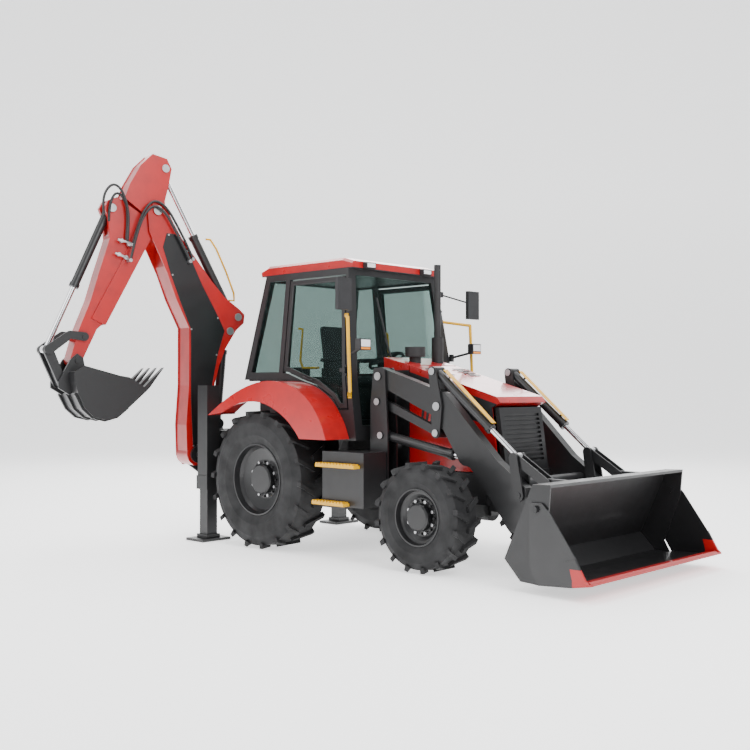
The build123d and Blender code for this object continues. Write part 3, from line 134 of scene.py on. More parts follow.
@dataclass(frozen=True)
class Finish:
    """Surface of one kind of piece."""

    name: str
    colour: Colour
    rough: float = 0.4
    metal: float = 0.0
    coat: float = 0.0
    wear: float = 0.12
    grain: float = 0.02
    scale: float = 6.0
    fine: float = 160.0
    glow: float = 0.0
    zones: tuple[Zone, ...] = ()

    def material(self) -> bpy.types.Material:
        """Builds the node material of this finish.

        Returns:
            A material whose colour, gloss and grain all vary over the surface.
        """
        made = bpy.data.materials.new(self.name)
        made.use_nodes = True
        tree = made.node_tree
        shader = tree.nodes["Principled BSDF"]
        shader.inputs["Metallic"].default_value = self.metal
        shader.inputs["Coat Weight"].default_value = self.coat
        shader.inputs["Coat Roughness"].default_value = 0.12
        shader.inputs["Emission Color"].default_value = (*self.colour, 1)
        shader.inputs["Emission Strength"].default_value = self.glow
        place = tree.nodes.new("ShaderNodeTexCoord").outputs["Object"]
        cloud = self._noise(tree, place, self.scale, 5)
        shade = tree.nodes.new("ShaderNodeMix")
        shade.data_type = "RGBA"
        shade.inputs["A"].default_value = (*self.colour, 1)
        shade.inputs["B"].default_value = (*(max(c * (1 - 2.4 * self.wear), 0.001) for c in self.colour), 1)
        tree.links.new(self._range(tree, cloud, 0.42, 0.8, 0.0, 1.0), shade.inputs["Factor"])
        colour = shade.outputs["Result"]
        gloss = self._range(
            tree, cloud, 0.3, 0.75, self.rough * (1 - self.wear), self.rough * (1 + self.wear),
        )
        for zone in self.zones:
            mask = self._mask(tree, place, zone)
            blend = tree.nodes.new("ShaderNodeMix")
            blend.data_type = "RGBA"
            tree.links.new(mask, blend.inputs["Factor"])
            tree.links.new(colour, blend.inputs["A"])
            blend.inputs["B"].default_value = (*zone.colour, 1)
            colour = blend.outputs["Result"]
            level = tree.nodes.new("ShaderNodeMix")
            tree.links.new(mask, level.inputs["Factor"])
            tree.links.new(gloss, level.inputs["A"])
            level.inputs["B"].default_value = zone.rough
            gloss = level.outputs["Result"]
        tree.links.new(colour, shader.inputs["Base Color"])
        tree.links.new(gloss, shader.inputs["Roughness"])
        bump = tree.nodes.new("ShaderNodeBump")
        bump.inputs["Strength"].default_value = self.grain * 10
        bump.inputs["Distance"].default_value = 0.001
        tree.links.new(self._noise(tree, place, self.fine, 3), bump.inputs["Height"])
        tree.links.new(bump.outputs["Normal"], shader.inputs["Normal"])
        return made

    @staticmethod
    def _noise(tree: bpy.types.NodeTree, place: bpy.types.NodeSocket, scale: float, detail: float):
        """Adds a noise texture and returns its value."""
        noise = tree.nodes.new("ShaderNodeTexNoise")
        noise.inputs["Scale"].default_value = scale
        noise.inputs["Detail"].default_value = detail
        tree.links.new(place, noise.inputs["Vector"])
        return noise.outputs["Fac"]

    @staticmethod
    def _range(tree: bpy.types.NodeTree, value, low: float, high: float, to_low: float, to_high: float):
        """Maps a value from one range to another and returns the result."""
        node = tree.nodes.new("ShaderNodeMapRange")
        for name, number in (("From Min", low), ("From Max", high), ("To Min", to_low), ("To Max", to_high)):
            node.inputs[name].default_value = number
        tree.links.new(value, node.inputs["Value"])
        return node.outputs["Result"]

    @staticmethod
    def _mask(tree: bpy.types.NodeTree, place, zone: Zone):
        """Returns 1 inside all planes of a zone and 0 outside."""
        mask = None
        for normal, offset in zone.planes:
            dot = tree.nodes.new("ShaderNodeVectorMath")
            dot.operation = "DOT_PRODUCT"
            dot.inputs[1].default_value = normal
            tree.links.new(place, dot.inputs[0])
            test = tree.nodes.new("ShaderNodeMath")
            test.operation = "GREATER_THAN"
            test.inputs[1].default_value = offset
            tree.links.new(dot.outputs["Value"], test.inputs[0])
            if mask is None:
                mask = test.outputs[0]
                continue
            both = tree.nodes.new("ShaderNodeMath")
            both.operation = "MULTIPLY"
            tree.links.new(mask, both.inputs[0])
            tree.links.new(test.outputs[0], both.inputs[1])
            mask = both.outputs[0]
        return mask


@dataclass(frozen=True)
class Glazing:
    """Clear or tinted sheet, with faint smears in its gloss."""

    name: str
    colour: Colour
    clear: float = 1.0

    def material(self) -> bpy.types.Material:
        """Builds the glass material.

        Returns:
            A thin glass that lets most light straight through.
        """
        made = bpy.data.materials.new(self.name)
        made.use_nodes = True
        tree = made.node_tree
        tree.nodes.clear()
        out = tree.nodes.new("ShaderNodeOutputMaterial")
        mix = tree.nodes.new("ShaderNodeMixShader")
        through = tree.nodes.new("ShaderNodeBsdfTransparent")
        through.inputs["Color"].default_value = (*self.colour, 1)
        gloss = tree.nodes.new("ShaderNodeBsdfPrincipled")
        gloss.inputs["Base Color"].default_value = (0.01, 0.014, 0.014, 1)
        gloss.inputs["Transmission Weight"].default_value = 0.0
        place = tree.nodes.new("ShaderNodeTexCoord").outputs["Object"]
        smear = Finish._range(tree, Finish._noise(tree, place, 3.0, 4), 0.4, 0.7, 0.02, 0.07)
        tree.links.new(smear, gloss.inputs["Roughness"])
        edge = tree.nodes.new("ShaderNodeLayerWeight")
        edge.inputs["Blend"].default_value = 0.35
        tree.links.new(
            Finish._range(tree, edge.outputs["Fresnel"], 0.0, 1.0, 1 - self.clear, 0.55), mix.inputs[0],
        )
        tree.links.new(through.outputs[0], mix.inputs[1])
        tree.links.new(gloss.outputs[0], mix.inputs[2])
        tree.links.new(mix.outputs[0], out.inputs["Surface"])
        return made


RED = (0.42, 0.006, 0.007)
DARK = (0.010, 0.010, 0.011)
YELLOW = (0.76, 0.40, 0.0)


class Paint(Enum):
    """Finishes of the machine."""

    RED = Finish("red enamel", RED, 0.32, coat=0.5)
    DARK = Finish("dark grey enamel", DARK, 0.42, coat=0.15)
    COVER = Finish("cover plate enamel", (0.006, 0.006, 0.007), 0.35, coat=0.2)
    CASTING = Finish("dark casting", (0.014, 0.014, 0.015), 0.6, grain=0.08, fine=90)
    YELLOW = Finish("yellow enamel", YELLOW, 0.38, coat=0.3)
    CHROME = Finish("hard chrome", (0.78, 0.78, 0.80), 0.12, metal=1.0, wear=0.05, grain=0.005)
    STEEL = Finish("bare steel", (0.45, 0.45, 0.46), 0.35, metal=0.9, grain=0.03)
    RUBBER = Finish("tyre rubber", (0.009, 0.009, 0.010), 0.75, wear=0.2, grain=0.06, fine=240)
    HOSE = Finish("hose rubber", (0.012, 0.012, 0.013), 0.45)
    PLASTIC = Finish("grained plastic", (0.016, 0.016, 0.018), 0.55, grain=0.06, fine=400)
    CLOTH = Finish("seat cloth", (0.025, 0.025, 0.028), 0.9, grain=0.12, fine=700)
    AMBER = Finish("amber lens", (0.95, 0.30, 0.02), 0.2, coat=0.6)
    LENS = Finish("lamp lens", (0.85, 0.87, 0.90), 0.12, coat=0.8, wear=0.03)
    MIRROR = Finish("mirror face", (0.85, 0.87, 0.88), 0.04, metal=1.0, wear=0.02, grain=0.0)


class Kit:
    """Makes meshes and tubes, gives them a finish and fixes them to a body."""

    def __init__(self) -> None:
        """Builds every finish once."""
        self.finishes = {paint: paint.value.material() for paint in Paint}
        self.count: dict[str, int] = {}

    def unique(self, name: str) -> str:
        """Turns a plain name into one that no other piece has."""
        stem = name.replace(" ", "_")
        self.count[stem] = self.count.get(stem, 0) + 1
        return f"{stem}_{self.count[stem]}" if self.count[stem] > 1 else stem

    def mesh(
        self, name: str, points: Sequence[Vector], faces: Sequence[Sequence[int]], paint: Paint, body: Body,
        bevel: float = 0.0, smooth: bool = False,
    ) -> bpy.types.Object:
        """Makes a mesh object.

        Args:
            name: Name of the piece.
            points: Corners in the frame.
            faces: Corner numbers of each face.
            paint: Finish.
            body: Body that the piece moves with.
            bevel: Width of its softened edges, in metres.
            smooth: Whether its faces are shaded as one curve.

        Returns:
            The new object.
        """
        name = self.unique(name)
        data = bpy.data.meshes.new(name)
        data.from_pydata([tuple(p) for p in points], [], [tuple(f) for f in faces])
        shape = bmesh.new()
        shape.from_mesh(data)
        bmesh.ops.recalc_face_normals(shape, faces=shape.faces)
        shape.to_mesh(data)
        shape.free()
        made = bpy.data.objects.new(name, data)
        bpy.context.scene.collection.objects.link(made)
        data.materials.append(self.finishes[paint])
        if smooth:
            for face in data.polygons:
                face.use_smooth = len(face.vertices) == 4
        if bevel:
            soft = made.modifiers.new("soft edges", "BEVEL")
            soft.width = bevel
            soft.segments = 2
            soft.limit_method = "ANGLE"
        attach(made, body.value)
        return made

    def prism(
        self, name: str, outline: Sequence[Vector], depth: Vector, paint: Paint, body: Body, bevel: float = 0.002
    ) -> bpy.types.Object:
        """Makes a plate from its outline and its thickness vector."""
        count = len(outline)
        points = [*outline, *(p + depth for p in outline)]
        sides = [(i, (i + 1) % count, (i + 1) % count + count, i + count) for i in range(count)]
        faces = [tuple(range(count)), tuple(range(2 * count - 1, count - 1, -1)), *sides]
        return self.mesh(name, points, faces, paint, body, bevel)

    def box(self, name: str, low: Point, high: Point, paint: Paint, body: Body, bevel: float = 0.004):
        """Makes an upright block between two corners given in machine millimetres."""
        base = [
            at(low[0], low[1], low[2]), at(high[0], low[1], low[2]), at(high[0], high[1], low[2]),
            at(low[0], high[1], low[2]),
        ]
        return self.prism(name, base, Vector((0, 0, (high[2] - low[2]) / 1000)), paint, body, bevel)

    def rod(
        self, name: str, start: Vector, end: Vector, radius: float, paint: Paint, body: Body, sides: int = 28,
        bevel: float = 0.001,
    ) -> bpy.types.Object:
        """Makes a round bar between two points."""
        way = (end - start).normalized()
        first = way.orthogonal().normalized()
        second = way.cross(first)
        ring = [
            first * math.cos(2 * math.pi * i / sides) * radius + second * math.sin(2 * math.pi * i / sides) * radius
            for i in range(sides)
        ]
        points = [start + r for r in ring] + [end + r for r in ring]
        walls = [(i, (i + 1) % sides, (i + 1) % sides + sides, i + sides) for i in range(sides)]
        faces = [tuple(range(sides)), tuple(range(2 * sides - 1, sides - 1, -1)), *walls]
        return self.mesh(name, points, faces, paint, body, bevel, smooth=True)

    def tube(
        self, name: str, points: Sequence[Vector], radius: float, paint: Paint, body: Body | None, smooth: bool = True
    ) -> bpy.types.Object:
        """Makes a hose or pipe along points."""
        name = self.unique(name)
        curve = bpy.data.curves.new(name, "CURVE")
        curve.dimensions = "3D"
        line = curve.splines.new("NURBS" if smooth else "POLY")
        line.points.add(len(points) - 1)
        for spot, point in zip(line.points, points):
            spot.co = (*point, 1)
        if smooth:
            line.order_u = 3
            line.use_endpoint_u = True
            line.resolution_u = 8
        curve.bevel_depth = radius
        curve.bevel_resolution = 4
        curve.use_fill_caps = True
        made = bpy.data.objects.new(name, curve)
        bpy.context.scene.collection.objects.link(made)
        curve.materials.append(self.finishes[paint])
        if body:
            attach(made, body.value)
        return made


def plane(normal: Point, through: Vector) -> tuple[Point, float]:
    """Half space on the side of a point that a normal points to."""
    return normal, Vector(normal).dot(through)


class Frame:
    """Gives each modelled node its finish."""

    def __init__(self, kit: Kit) -> None:
        self.kit = kit

    def dress(self) -> None:
        """Finishes every node of the model."""
        glass = Glazing("cab glass", (0.86, 0.95, 0.93), 0.97).material()
        special = {
            "bonnet": self.bonnet(),
            "bucket_jaw": self.jaw(),
            "cab_roof": self.roof(),
            "body_panels": self.panels(),
            "lamps_mirrors": Paint.PLASTIC.value.material(),
        }
        for name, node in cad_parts.items():
            made = special.get(name)
            if made is None and "glass" in name:
                made = glass
            if made is None:
                made = self.kit.finishes[self.paint(name)]
            node.data.materials.clear()
            node.data.materials.append(made)
        log.info("dressed %d nodes", len(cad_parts))

    def paint(self, name: str) -> Paint:
        """Chooses the finish of a plain node from its name."""
        if "tyre" in name:
            return Paint.RUBBER
        if name in ("boom", "dipper", "stick"):
            return Paint.RED
        if name == "steps_rails":
            return Paint.YELLOW
        if name.endswith(("_rod", "_rods")):
            return Paint.CHROME
        if name in ("controls",):
            return Paint.PLASTIC
        if name == "seat":
            return Paint.CLOTH
        if name in ("front_axle", "rear_axle", "engine", "knuckle_left", "knuckle_right"):
            return Paint.CASTING
        return Paint.DARK

    def bonnet(self) -> bpy.types.Material:
        """Red lid with a dark band down each flank."""
        flank = []
        for side in (-1, 1):
            flank.append(
                Zone(
                    DARK,
                    (
                        plane((0, side, 0), at(0, side * 362, 0)),
                        plane((-0.29, 0, -1), at(1490, 0, 1835)),
                        plane((0.24, 0, 1), at(1490, 0, 1560)),
                    ),
                    0.4,
                )
            )
        front = Zone(
            DARK,
            (
                plane((1, 0, 0), at(2450, 0, 0)),
                plane((0, 0, -1), at(0, 0, 1490)),
                plane((0, 1, 0), at(0, -352, 0)),
                plane((0, -1, 0), at(0, 352, 0)),
            ),
            0.45,
        )
        return Finish("bonnet enamel", RED, 0.3, coat=0.6, zones=(*flank, front)).material()

    def jaw(self) -> bpy.types.Material:
        """Dark bucket jaw with a red cutting edge."""
        lip = Zone(RED, (plane((1, 0, 0), at(3880, 0, 0)), plane((-0.1, 0, -1), at(3880, 0, 152))), 0.4)
        corner = Zone(RED, (plane((1, 0, 0.25), at(3868, 0, 210)), plane((0, 0, -1), at(0, 0, 250))), 0.4)
        return Finish("bucket enamel", DARK, 0.38, coat=0.25, zones=(lip, corner)).material()

    def roof(self) -> bpy.types.Material:
        """Red roof shell with a dark lower edge."""
        edge = Zone(DARK, (plane((0, 0, -1), at(0, 0, 2895)),), 0.5)
        return Finish("roof enamel", RED, 0.3, coat=0.6, zones=(edge,)).material()

    def panels(self) -> bpy.types.Material:
        """Red fenders and a cowl with a dark lower band."""
        band = Zone(
            DARK,
            (plane((1, 0, 0), at(1120, 0, 0)), plane((0, 0, -1), at(0, 0, 1850))),
            0.45,
        )
        return Finish("panel enamel", RED, 0.3, coat=0.6, zones=(band,)).material()


class ArmTrim:
    """Covers, hoses, fittings and pin heads of the digging arm."""

    def __init__(self, kit: Kit) -> None:
        self.kit = kit

    def build(self) -> None:
        """Makes all trim of the digging arm."""
        self.covers()
        self.hoses()
        self.guard()
        self.pins()
        log.info("digging arm trimmed")

    def covers(self) -> None:
        """Dark cover plates on both flanks of the boom, with their screws."""
        outline = [
            (770, 3400), (665, 3395), (520, 3235), (330, 2850), (115, 2480), (40, 2330), (130, 2050), (215, 1640),
            (265, 1250), (300, 1000), (440, 1000), (468, 1536), (470, 2340), (600, 2640), (720, 2950), (815, 3240),
        ]
        for side, face in (("near", -BOOM_FACE), ("far", BOOM_FACE)):
            out = -COVER_THICK if face < 0 else COVER_THICK
            edge = [hoe(u, v, face) for u, v in outline]
            self.kit.prism(
                f"boom cover {side}", edge, hoe(0, 0, out) - hoe(0, 0, 0), Paint.COVER, Body.BOOM, 0.003,
            )
            for u, v in outline[::2]:
                mid = (u * 0.94 + 22, v * 0.985 + 32)
                self.screw(f"cover screw {side}", mid, face + out, out, Body.BOOM)

    def screw(self, name: str, spot: tuple[float, float], face: float, out: float, body: Body) -> None:
        """Makes a small round screw head on a flank."""
        step = 4 if out > 0 else -4
        self.kit.rod(name, hoe(*spot, face), hoe(*spot, face + step), 0.011, Paint.STEEL, body, 12)

    def hoses(self) -> None:
        """Hose loops over the dipper's head and lines down the boom."""
        loops = [
            (
                -150,
                [
                    (1500, 3540), (1520, 3660), (1485, 3800), (1400, 3885), (1310, 3840), (1240, 3680),
                    (1215, 3500), (1235, 3270),
                ],
            ),
            (-132, [(1440, 3470), (1440, 3640), (1370, 3800), (1275, 3760), (1215, 3590), (1240, 3290)]),
        ]
        for index, (across, points) in enumerate(loops):
            line = [hoe(u, v, across) for u, v in points]
            self.kit.tube(f"dipper hose {index + 1}", line, HOSE_R, Paint.HOSE, Body.DIPPER)
        crossing = [
            (
                -168,
                [
                    (1180, 3230), (1130, 3420), (1040, 3650), (920, 3760), (770, 3680), (650, 3490),
                    (520, 3270), (455, 3130),
                ],
            ),
            (
                -190,
                [
                    (1215, 3060), (1160, 3300), (1065, 3570), (940, 3700), (800, 3620), (690, 3440),
                    (570, 3240), (500, 3100),
                ],
            ),
        ]
        for index, (across, points) in enumerate(crossing):
            line = [hoe(u, v, across) for u, v in points]
            curve = self.kit.tube("hose line", line, HOSE_R, Paint.HOSE, None)
            graph = bpy.context.evaluated_depsgraph_get()
            data = bpy.data.meshes.new_from_object(curve.evaluated_get(graph))
            bpy.data.objects.remove(curve)
            made = bpy.data.objects.new(self.kit.unique("joint hose"), data)
            bpy.context.scene.collection.objects.link(made)
            for face in data.polygons:
                face.use_smooth = True
            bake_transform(made)
            for spot in (points[0], points[-1]):
                body = Body.DIPPER if spot is points[0] else Body.BOOM
                inner = -118 if spot is points[0] else -146
                self.kit.rod(
                    "hose clamp", hoe(*spot, inner), hoe(*spot, across - 14), 0.02, Paint.STEEL, body,
                )
        for index, (u, v) in enumerate(((1300, 3270), (1215, 3240), (1330, 3120), (1250, 3090))):
            self.kit.rod(
                f"hose fitting {index + 1}", hoe(u, v, -116), hoe(u, v, -158), 0.022, Paint.STEEL,
                Body.DIPPER,
            )
        bar = [hoe(1190, 3250, -150), hoe(1345, 3280, -150)]
        self.kit.rod("fitting bar upper", *bar, 0.013, Paint.STEEL, Body.DIPPER)
        bar = [hoe(1225, 3085, -150), hoe(1375, 3130, -150)]
        self.kit.rod("fitting bar lower", *bar, 0.013, Paint.STEEL, Body.DIPPER)

    def guard(self) -> None:
        """Yellow rail along the outer side of the dipper's cylinder."""
        line = [
            hoe(205, 3395, 0), hoe(150, 3395, 0), hoe(70, 3290, 0), hoe(-60, 3030, 0), hoe(-160, 2790, 0),
            hoe(-165, 2700, 0), hoe(-95, 2700, 0),
        ]
        self.kit.tube("cylinder guard", line, 0.013, Paint.YELLOW, Body.DIPPER_RAM, smooth=False)

    def pins(self) -> None:
        """Bright pin heads with their keeper screws."""
        for body, spot, half, radius in (
            (Body.BOOM, (879, 3642), 158, 0.052),
            (Body.BOOM, (-136, 2497), 152, 0.045),
            (Body.BOOM, (-30, 2330), 152, 0.045),
            (Body.DIPPER, (769, 4126), 122, 0.045),
            (Body.STICK, (1390, 3625), 108, 0.045),
        ):
            for side in (-1, 1):
                self.kit.rod(
                    "pin head", hoe(*spot, side * half), hoe(*spot, side * (half + 7)), radius, Paint.STEEL,
                    body,
                )
                keeper = (spot[0] + 30, spot[1] + 22)
                self.kit.rod(
                    "pin keeper", hoe(*keeper, side * (half + 7)), hoe(*keeper, side * (half + 13)), 0.009,
                    Paint.STEEL, body, 6,
                )


class LoaderTrim:
    """Cylinder guards, pipes and pin heads of the loader."""

    def __init__(self, kit: Kit) -> None:
        self.kit = kit

    def build(self) -> None:
        """Makes all trim of the loader."""
        for side in (-1, 1):
            self.guard(side)
            self.pins(side)
            self.pipes(side)
        log.info("loader trimmed")

    def guard(self, side: int) -> None:
        """Yellow strip over one tilt cylinder."""
        start, end = Vector((2045, 1828)), Vector((2970, 1060))
        way = (end - start).normalized()
        up = Vector((-way.y, way.x))
        if up.y < 0:
            up = -up
        near, far = start + way * 70 + up * 74, start + way * 815 + up * 60
        y = side * ARM_Y
        edge = [
            at(near.x, y - 30, near.y), at(far.x, y - 30, far.y), at(far.x, y + 30, far.y),
            at(near.x, y + 30, near.y),
        ]
        depth = Vector((up.x, 0, up.y)) * 0.006
        self.kit.prism("tilt guard", edge, depth, Paint.YELLOW, Body.TILT, 0.002)
        for share in (0.12, 0.88):
            foot = near.lerp(far, share)
            base = foot - up * 24
            self.kit.rod(
                "guard stay", at(base.x, y, base.y), at(foot.x, y, foot.y), 0.012, Paint.DARK, Body.TILT,
                12,
            )

    def pins(self, side: int) -> None:
        """Bright pin heads on both faces of one arm."""
        for body, spot, half, radius in (
            (Body.CHASSIS, (1357, 1787), 87, 0.04),
            (Body.CHASSIS, (1344, 1537), 87, 0.034),
            (Body.CHASSIS, (1390, 1208), 87, 0.034),
            (Body.LEVERS, (2100, 1500), 81, 0.04),
            (Body.LEVERS, (2045, 1828), 81, 0.034),
            (Body.LEVERS, (2087, 1250), 81, 0.034),
        ):
            for out in (-1, 1):
                y = side * ARM_Y + out * half
                start, end = at(spot[0], y, spot[1]), at(spot[0], y + out * 5, spot[1])
                self.kit.rod("pin head", start, end, radius, Paint.STEEL, body)

    def pipes(self, side: int) -> None:
        """Steel pipes along the top of one arm."""
        for offset in (-16, 16):
            y = side * ARM_Y + offset
            line = [at(1500, y, 1762), at(2080, y, 1602), at(2360, y, 1330), at(2700, y, 985)]
            self.kit.tube("arm pipe", line, PIPE_R, Paint.STEEL, Body.ARMS, smooth=False)


class CabTrim:
    """Lamps, seals, handles, wiper, mirrors and bonnet slots."""

    def __init__(self, kit: Kit) -> None:
        self.kit = kit

    def build(self) -> None:
        """Makes all trim of the cab and bonnet."""
        for side in (-1, 1):
            self.lamps(side)
            self.door(side)
        self.wiper()
        self.slots()
        log.info("cab trimmed")

    def lamps(self, side: int) -> None:
        """Lenses of one side's work lamp and roof lamp, and one mirror face."""
        y = side * 874
        self.kit.box(
            "work lamp lens", (1375, y - 62, 2072), (1381, y + 62, 2140), Paint.LENS, Body.CHASSIS, 0.006,
        )
        self.kit.box(
            "turn lamp", (1375, y - 62, 2046), (1380, y + 62, 2066), Paint.AMBER, Body.CHASSIS, 0.003,
        )
        y = side * 440
        self.kit.box(
            "roof lamp lens", (1040, y - 58, 2902), (1045, y + 58, 2944), Paint.LENS, Body.CHASSIS, 0.005,
        )
        y = side * 1009
        self.kit.box(
            "mirror face", (1186, y - 84, 2442), (1190, y + 84, 2728), Paint.MIRROR, Body.CHASSIS, 0.002,
        )

    def door(self, side: int) -> None:
        """Handle, inner bars and window seal of one door."""
        body = Body.DOOR_LEFT if side > 0 else Body.DOOR_RIGHT

        def skin(x: float, z: float, out: float = 0.0) -> Vector:
            """Point on the leaning outer face of the door."""
            lean = (SIDE_HALF - ROOF_HALF) / (CAB_PEAK - WAIST)
            return at(x, side * (SIDE_HALF - lean * max(z - WAIST, 0) + out), z)

        self.kit.tube(
            "door handle", [skin(430, 1782, 2), skin(432, 1784, 28), skin(548, 1752, 28), skin(550, 1750, 2)], 0.008,
            Paint.PLASTIC, body, smooth=False,
        )
        rail = [
            skin(210, 2300, -60), skin(250, 2290, -86), skin(250, 1960, -86), skin(300, 1880, -86),
            skin(560, 1880, -60),
        ]
        self.kit.tube("door inner bar", rail, 0.013, Paint.YELLOW, body, smooth=False)
        pane = [
            (892, 1604), (960, 1515), (1003, 1515), (872, 2760), (150, 2760), (150, 1890), (184, 1884), (413, 1809),
            (629, 1752),
        ]
        for start, end in zip(pane, pane[1:] + pane[:1]):
            self.kit.rod("window seal", skin(*start, 1), skin(*end, 1), 0.007, Paint.HOSE, body, 8)

    def wiper(self) -> None:
        """Wiper on the front screen."""
        pivot, tip = at(1160, 60, 1380), at(1062, -260, 2180)
        self.kit.rod("wiper arm", pivot, tip, 0.007, Paint.PLASTIC, Body.CHASSIS, 10)
        self.kit.rod(
            "wiper blade", at(1113, -150, 1760), at(1010, -330, 2600), 0.009, Paint.HOSE, Body.CHASSIS, 10,
        )
        self.kit.rod(
            "wiper pivot", at(1125, 60, 1380), at(1172, 60, 1380), 0.018, Paint.PLASTIC, Body.CHASSIS, 14,
        )

    def slots(self) -> None:
        """Cooling slots in the top and flanks of the bonnet."""
        for side in (-1, 1):
            for step in range(4):
                x = 1640 + step * 70
                z = 1909 - (x - 1500) * 0.2897 - 3
                edge = [
                    at(x, side * 120, z), at(x + 26, side * 120, z - 7.5), at(x + 26, side * 300, z - 7.5),
                    at(x, side * 300, z),
                ]
                self.kit.prism("bonnet slot", edge, Vector((0, 0, 0.004)), Paint.HOSE, Body.BONNET, 0.0)
            for step in range(6):
                x = 1640 + step * 60
                edge = [
                    at(x, side * BONNET_HALF, 1290), at(x + 30, side * BONNET_HALF, 1290),
                    at(x + 60, side * BONNET_HALF, 1500 - step * 8),
                    at(x + 30, side * BONNET_HALF, 1500 - step * 8),
                ]
                self.kit.prism("flank slot", edge, Vector((0, side * 0.002, 0)), Paint.HOSE, Body.BONNET, 0.0)


class Seat:
    """Upholstered seat in place of its plain solid."""

    def __init__(self, kit: Kit) -> None:
        self.kit = kit

    def build(self) -> None:
        """Makes base, cushion, backrest and arm rests."""
        base = self.kit.box(
            "seat base", (180, -170, 1331), (520, 170, 1692), Paint.PLASTIC, Body.CHASSIS, 0.012,
        )
        cushion = self.pad("seat cushion", (355, 0, 1745), (244, 238, 53), 0.045, 0.0)
        back = self.pad("seat back", (112, 0, 2060), (40, 226, 292), 0.038, math.radians(-9))
        for side in (-1, 1):
            self.pad("arm rest", (295, side * 275, 1975), (163, 29, 24), 0.02, 0.0)
            self.kit.rod(
                "arm stay", at(172, side * 262, 1780), at(172, side * 262, 1955), 0.014, Paint.PLASTIC,
                Body.CHASSIS,
            )
        for piece in (cushion, back, base):
            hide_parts("seat")

    def pad(self, name: str, centre: Point, half: Point, radius: float, tilt: float) -> bpy.types.Object:
        """Makes a stuffed pad with rounded edges and stitched channels.

        Args:
            name: Name of the pad.
            centre: Its middle, in machine millimetres.
            half: Its half sizes, in millimetres.
            radius: Radius of its edges, in metres.
            tilt: Turn about the machine's cross axis, in radians.

        Returns:
            The pad.
        """
        size = Vector(half) / 1000
        shape = bmesh.new()
        bmesh.ops.create_cube(shape, size=2.0)
        bmesh.ops.subdivide_edges(shape, edges=shape.edges[:], cuts=SEAT_CUTS, use_grid_fill=True)
        soft = min(radius, *(size * 0.95))
        inner = Vector(max(v - soft, 0.0) for v in size)
        thin = min(range(3), key=lambda axis: size[axis])
        for vert in shape.verts:
            spread = [vert.co[axis] for axis in range(3) if axis != thin]
            spot = Vector(vert.co[axis] * size[axis] for axis in range(3))
            core = Vector(min(max(spot[axis], -inner[axis]), inner[axis]) for axis in range(3))
            push = (spot - core).normalized() * soft if (spot - core).length > 1e-9 else Vector()
            spot = core + push
            crown = (1 - spread[0] ** 2) * (1 - spread[1] ** 2)
            groove = 0.006 * max(0.0, math.cos(spread[-1] * 9.5)) ** 8
            spot[thin] *= 0.86 + 0.14 * crown
            spot[thin] -= math.copysign(groove * crown, spot[thin])
            vert.co = spot
        name = self.kit.unique(name)
        data = bpy.data.meshes.new(name)
        shape.to_mesh(data)
        shape.free()
        for face in data.polygons:
            face.use_smooth = True
        made = bpy.data.objects.new(name, data)
        bpy.context.scene.collection.objects.link(made)
        data.materials.append(self.kit.finishes[Paint.CLOTH])
        made.location = at(*centre)
        made.rotation_euler = (0, tilt, 0)
        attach(made, Body.CHASSIS.value)
        return made


class WheelTrim:
    """Bright nuts of the four wheels."""

    def __init__(self, kit: Kit) -> None:
        self.kit = kit

    def build(self) -> None:
        """Makes a ring of nuts on each wheel."""
        for end, x, track, height, ring, dish in (
            ("rear", 0, 905, 718, 181, 60),
            ("front", 2190, 925, 503, 151, 60),
        ):
            for label, side in (("left", 1), ("right", -1)):
                self.nuts(f"{end}_wheel_{label}", x, side, track, height, ring, dish)

    def nuts(self, body: str, x: float, side: int, track: float, height: float, ring: float, dish: float) -> None:
        """Makes one ring of nuts as one piece."""
        shape = bmesh.new()
        for step in range(NUTS):
            angle = math.tau * (step + 0.5) / NUTS
            spot = (x + ring * math.cos(angle), side * (track + dish), height + ring * math.sin(angle))
            made = bmesh.ops.create_cone(
                shape, cap_ends=True, segments=6, radius1=0.019, radius2=0.016, depth=0.03
            )
            bmesh.ops.rotate(shape, verts=made["verts"], matrix=Matrix.Rotation(-side * math.pi / 2, 3, "X"))
            bmesh.ops.translate(shape, verts=made["verts"], vec=at(spot[0], spot[1] + side * 13, spot[2]))
        data = bpy.data.meshes.new("wheel nuts")
        shape.to_mesh(data)
        shape.free()
        made = bpy.data.objects.new(self.kit.unique(f"{body} nuts"), data)
        bpy.context.scene.collection.objects.link(made)
        data.materials.append(self.kit.finishes[Paint.STEEL])
        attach(made, body)


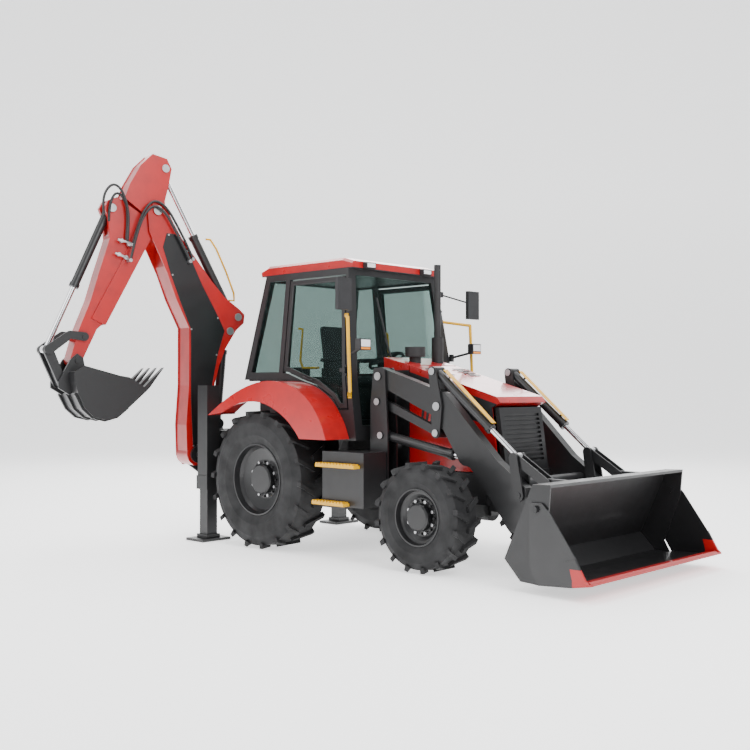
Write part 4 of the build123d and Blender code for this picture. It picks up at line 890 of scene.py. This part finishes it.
class Studio:
    """Floor, backdrop, lights and camera."""

    def __init__(self) -> None:
        """Sets the way that the camera looks."""
        self.eye = Vector(EYE)
        self.turn = EYE_TURN
        self.way = Vector((-math.sin(self.turn), math.cos(self.turn), 0))
        self.right = Vector((math.cos(self.turn), math.sin(self.turn), 0))

    def build(self) -> None:
        """Makes the studio."""
        self.backdrop()
        self.lights()
        self.camera()

    def backdrop(self) -> None:
        """Pale floor that bends up into the wall behind the machine."""
        profile = [(-14.0, -0.002), (16.0, -0.002)]
        for step in range(1, 13):
            angle = math.radians(step * 7.5)
            profile.append((16 + 8 * math.sin(angle), -0.002 + 8 * (1 - math.cos(angle))))
        profile.append((24.0, 30.0))
        points, faces = [], []
        start = Vector((0, 0, 0))
        for reach, height in profile:
            for side in (-40, 40):
                spot = start + self.way * reach + self.right * side
                points.append((spot.x, spot.y, height))
        for i in range(len(profile) - 1):
            faces.append((2 * i, 2 * i + 1, 2 * i + 3, 2 * i + 2))
        data = bpy.data.meshes.new("studio floor")
        data.from_pydata(points, [], faces)
        for face in data.polygons:
            face.use_smooth = True
        made = bpy.data.objects.new("studio floor", data)
        bpy.context.scene.collection.objects.link(made)
        data.materials.append(
            Finish("studio paper", (0.92, 0.92, 0.92), 0.85, wear=0.004, grain=0.0, scale=0.4, glow=1.05).material()
        )

    def lights(self) -> None:
        """Soft lights from above and both sides, and a pale surround."""
        world = bpy.data.worlds.new("studio air")
        bpy.context.scene.world = world
        world.use_nodes = True
        world.node_tree.nodes["Background"].inputs["Color"].default_value = (0.96, 0.98, 1.0, 1)
        world.node_tree.nodes["Background"].inputs["Strength"].default_value = 0.6
        for name, side, reach, height, size, power in (
            ("key", 5.0, -7.0, 7.5, 6.0, 950),
            ("fill", -8.0, -4.0, 6.0, 6.0, 500),
            ("top", 0.0, 1.5, 9.0, 9.0, 850),
            ("wall", 0.0, 9.0, 9.0, 12.0, 1800),
        ):
            lamp = bpy.data.lights.new(name, "AREA")
            lamp.energy = power
            lamp.size = size
            made = bpy.data.objects.new(name, lamp)
            bpy.context.scene.collection.objects.link(made)
            made.location = self.right * side + self.way * reach + Vector((0, 0, height))
            made.rotation_euler = (Vector((0, 0, 1)) - made.location).to_track_quat("-Z", "Y").to_euler()

    def camera(self) -> None:
        """Camera at the photograph's place and angle."""
        data = bpy.data.cameras.new("camera")
        data.lens = LENS_MM
        data.sensor_width = 36
        data.clip_end = 200
        made = bpy.data.objects.new("camera", data)
        bpy.context.scene.collection.objects.link(made)
        made.location = self.eye
        made.rotation_euler = (EYE_TILT, 0, self.turn)
        bpy.context.scene.camera = made


def main() -> None:
    """Builds the whole picture."""
    kit = Kit()
    Frame(kit).dress()
    for trim in (ArmTrim, LoaderTrim, CabTrim, Seat, WheelTrim):
        trim(kit).build()
    Studio().build()


if __name__ == "__main__":
    main()
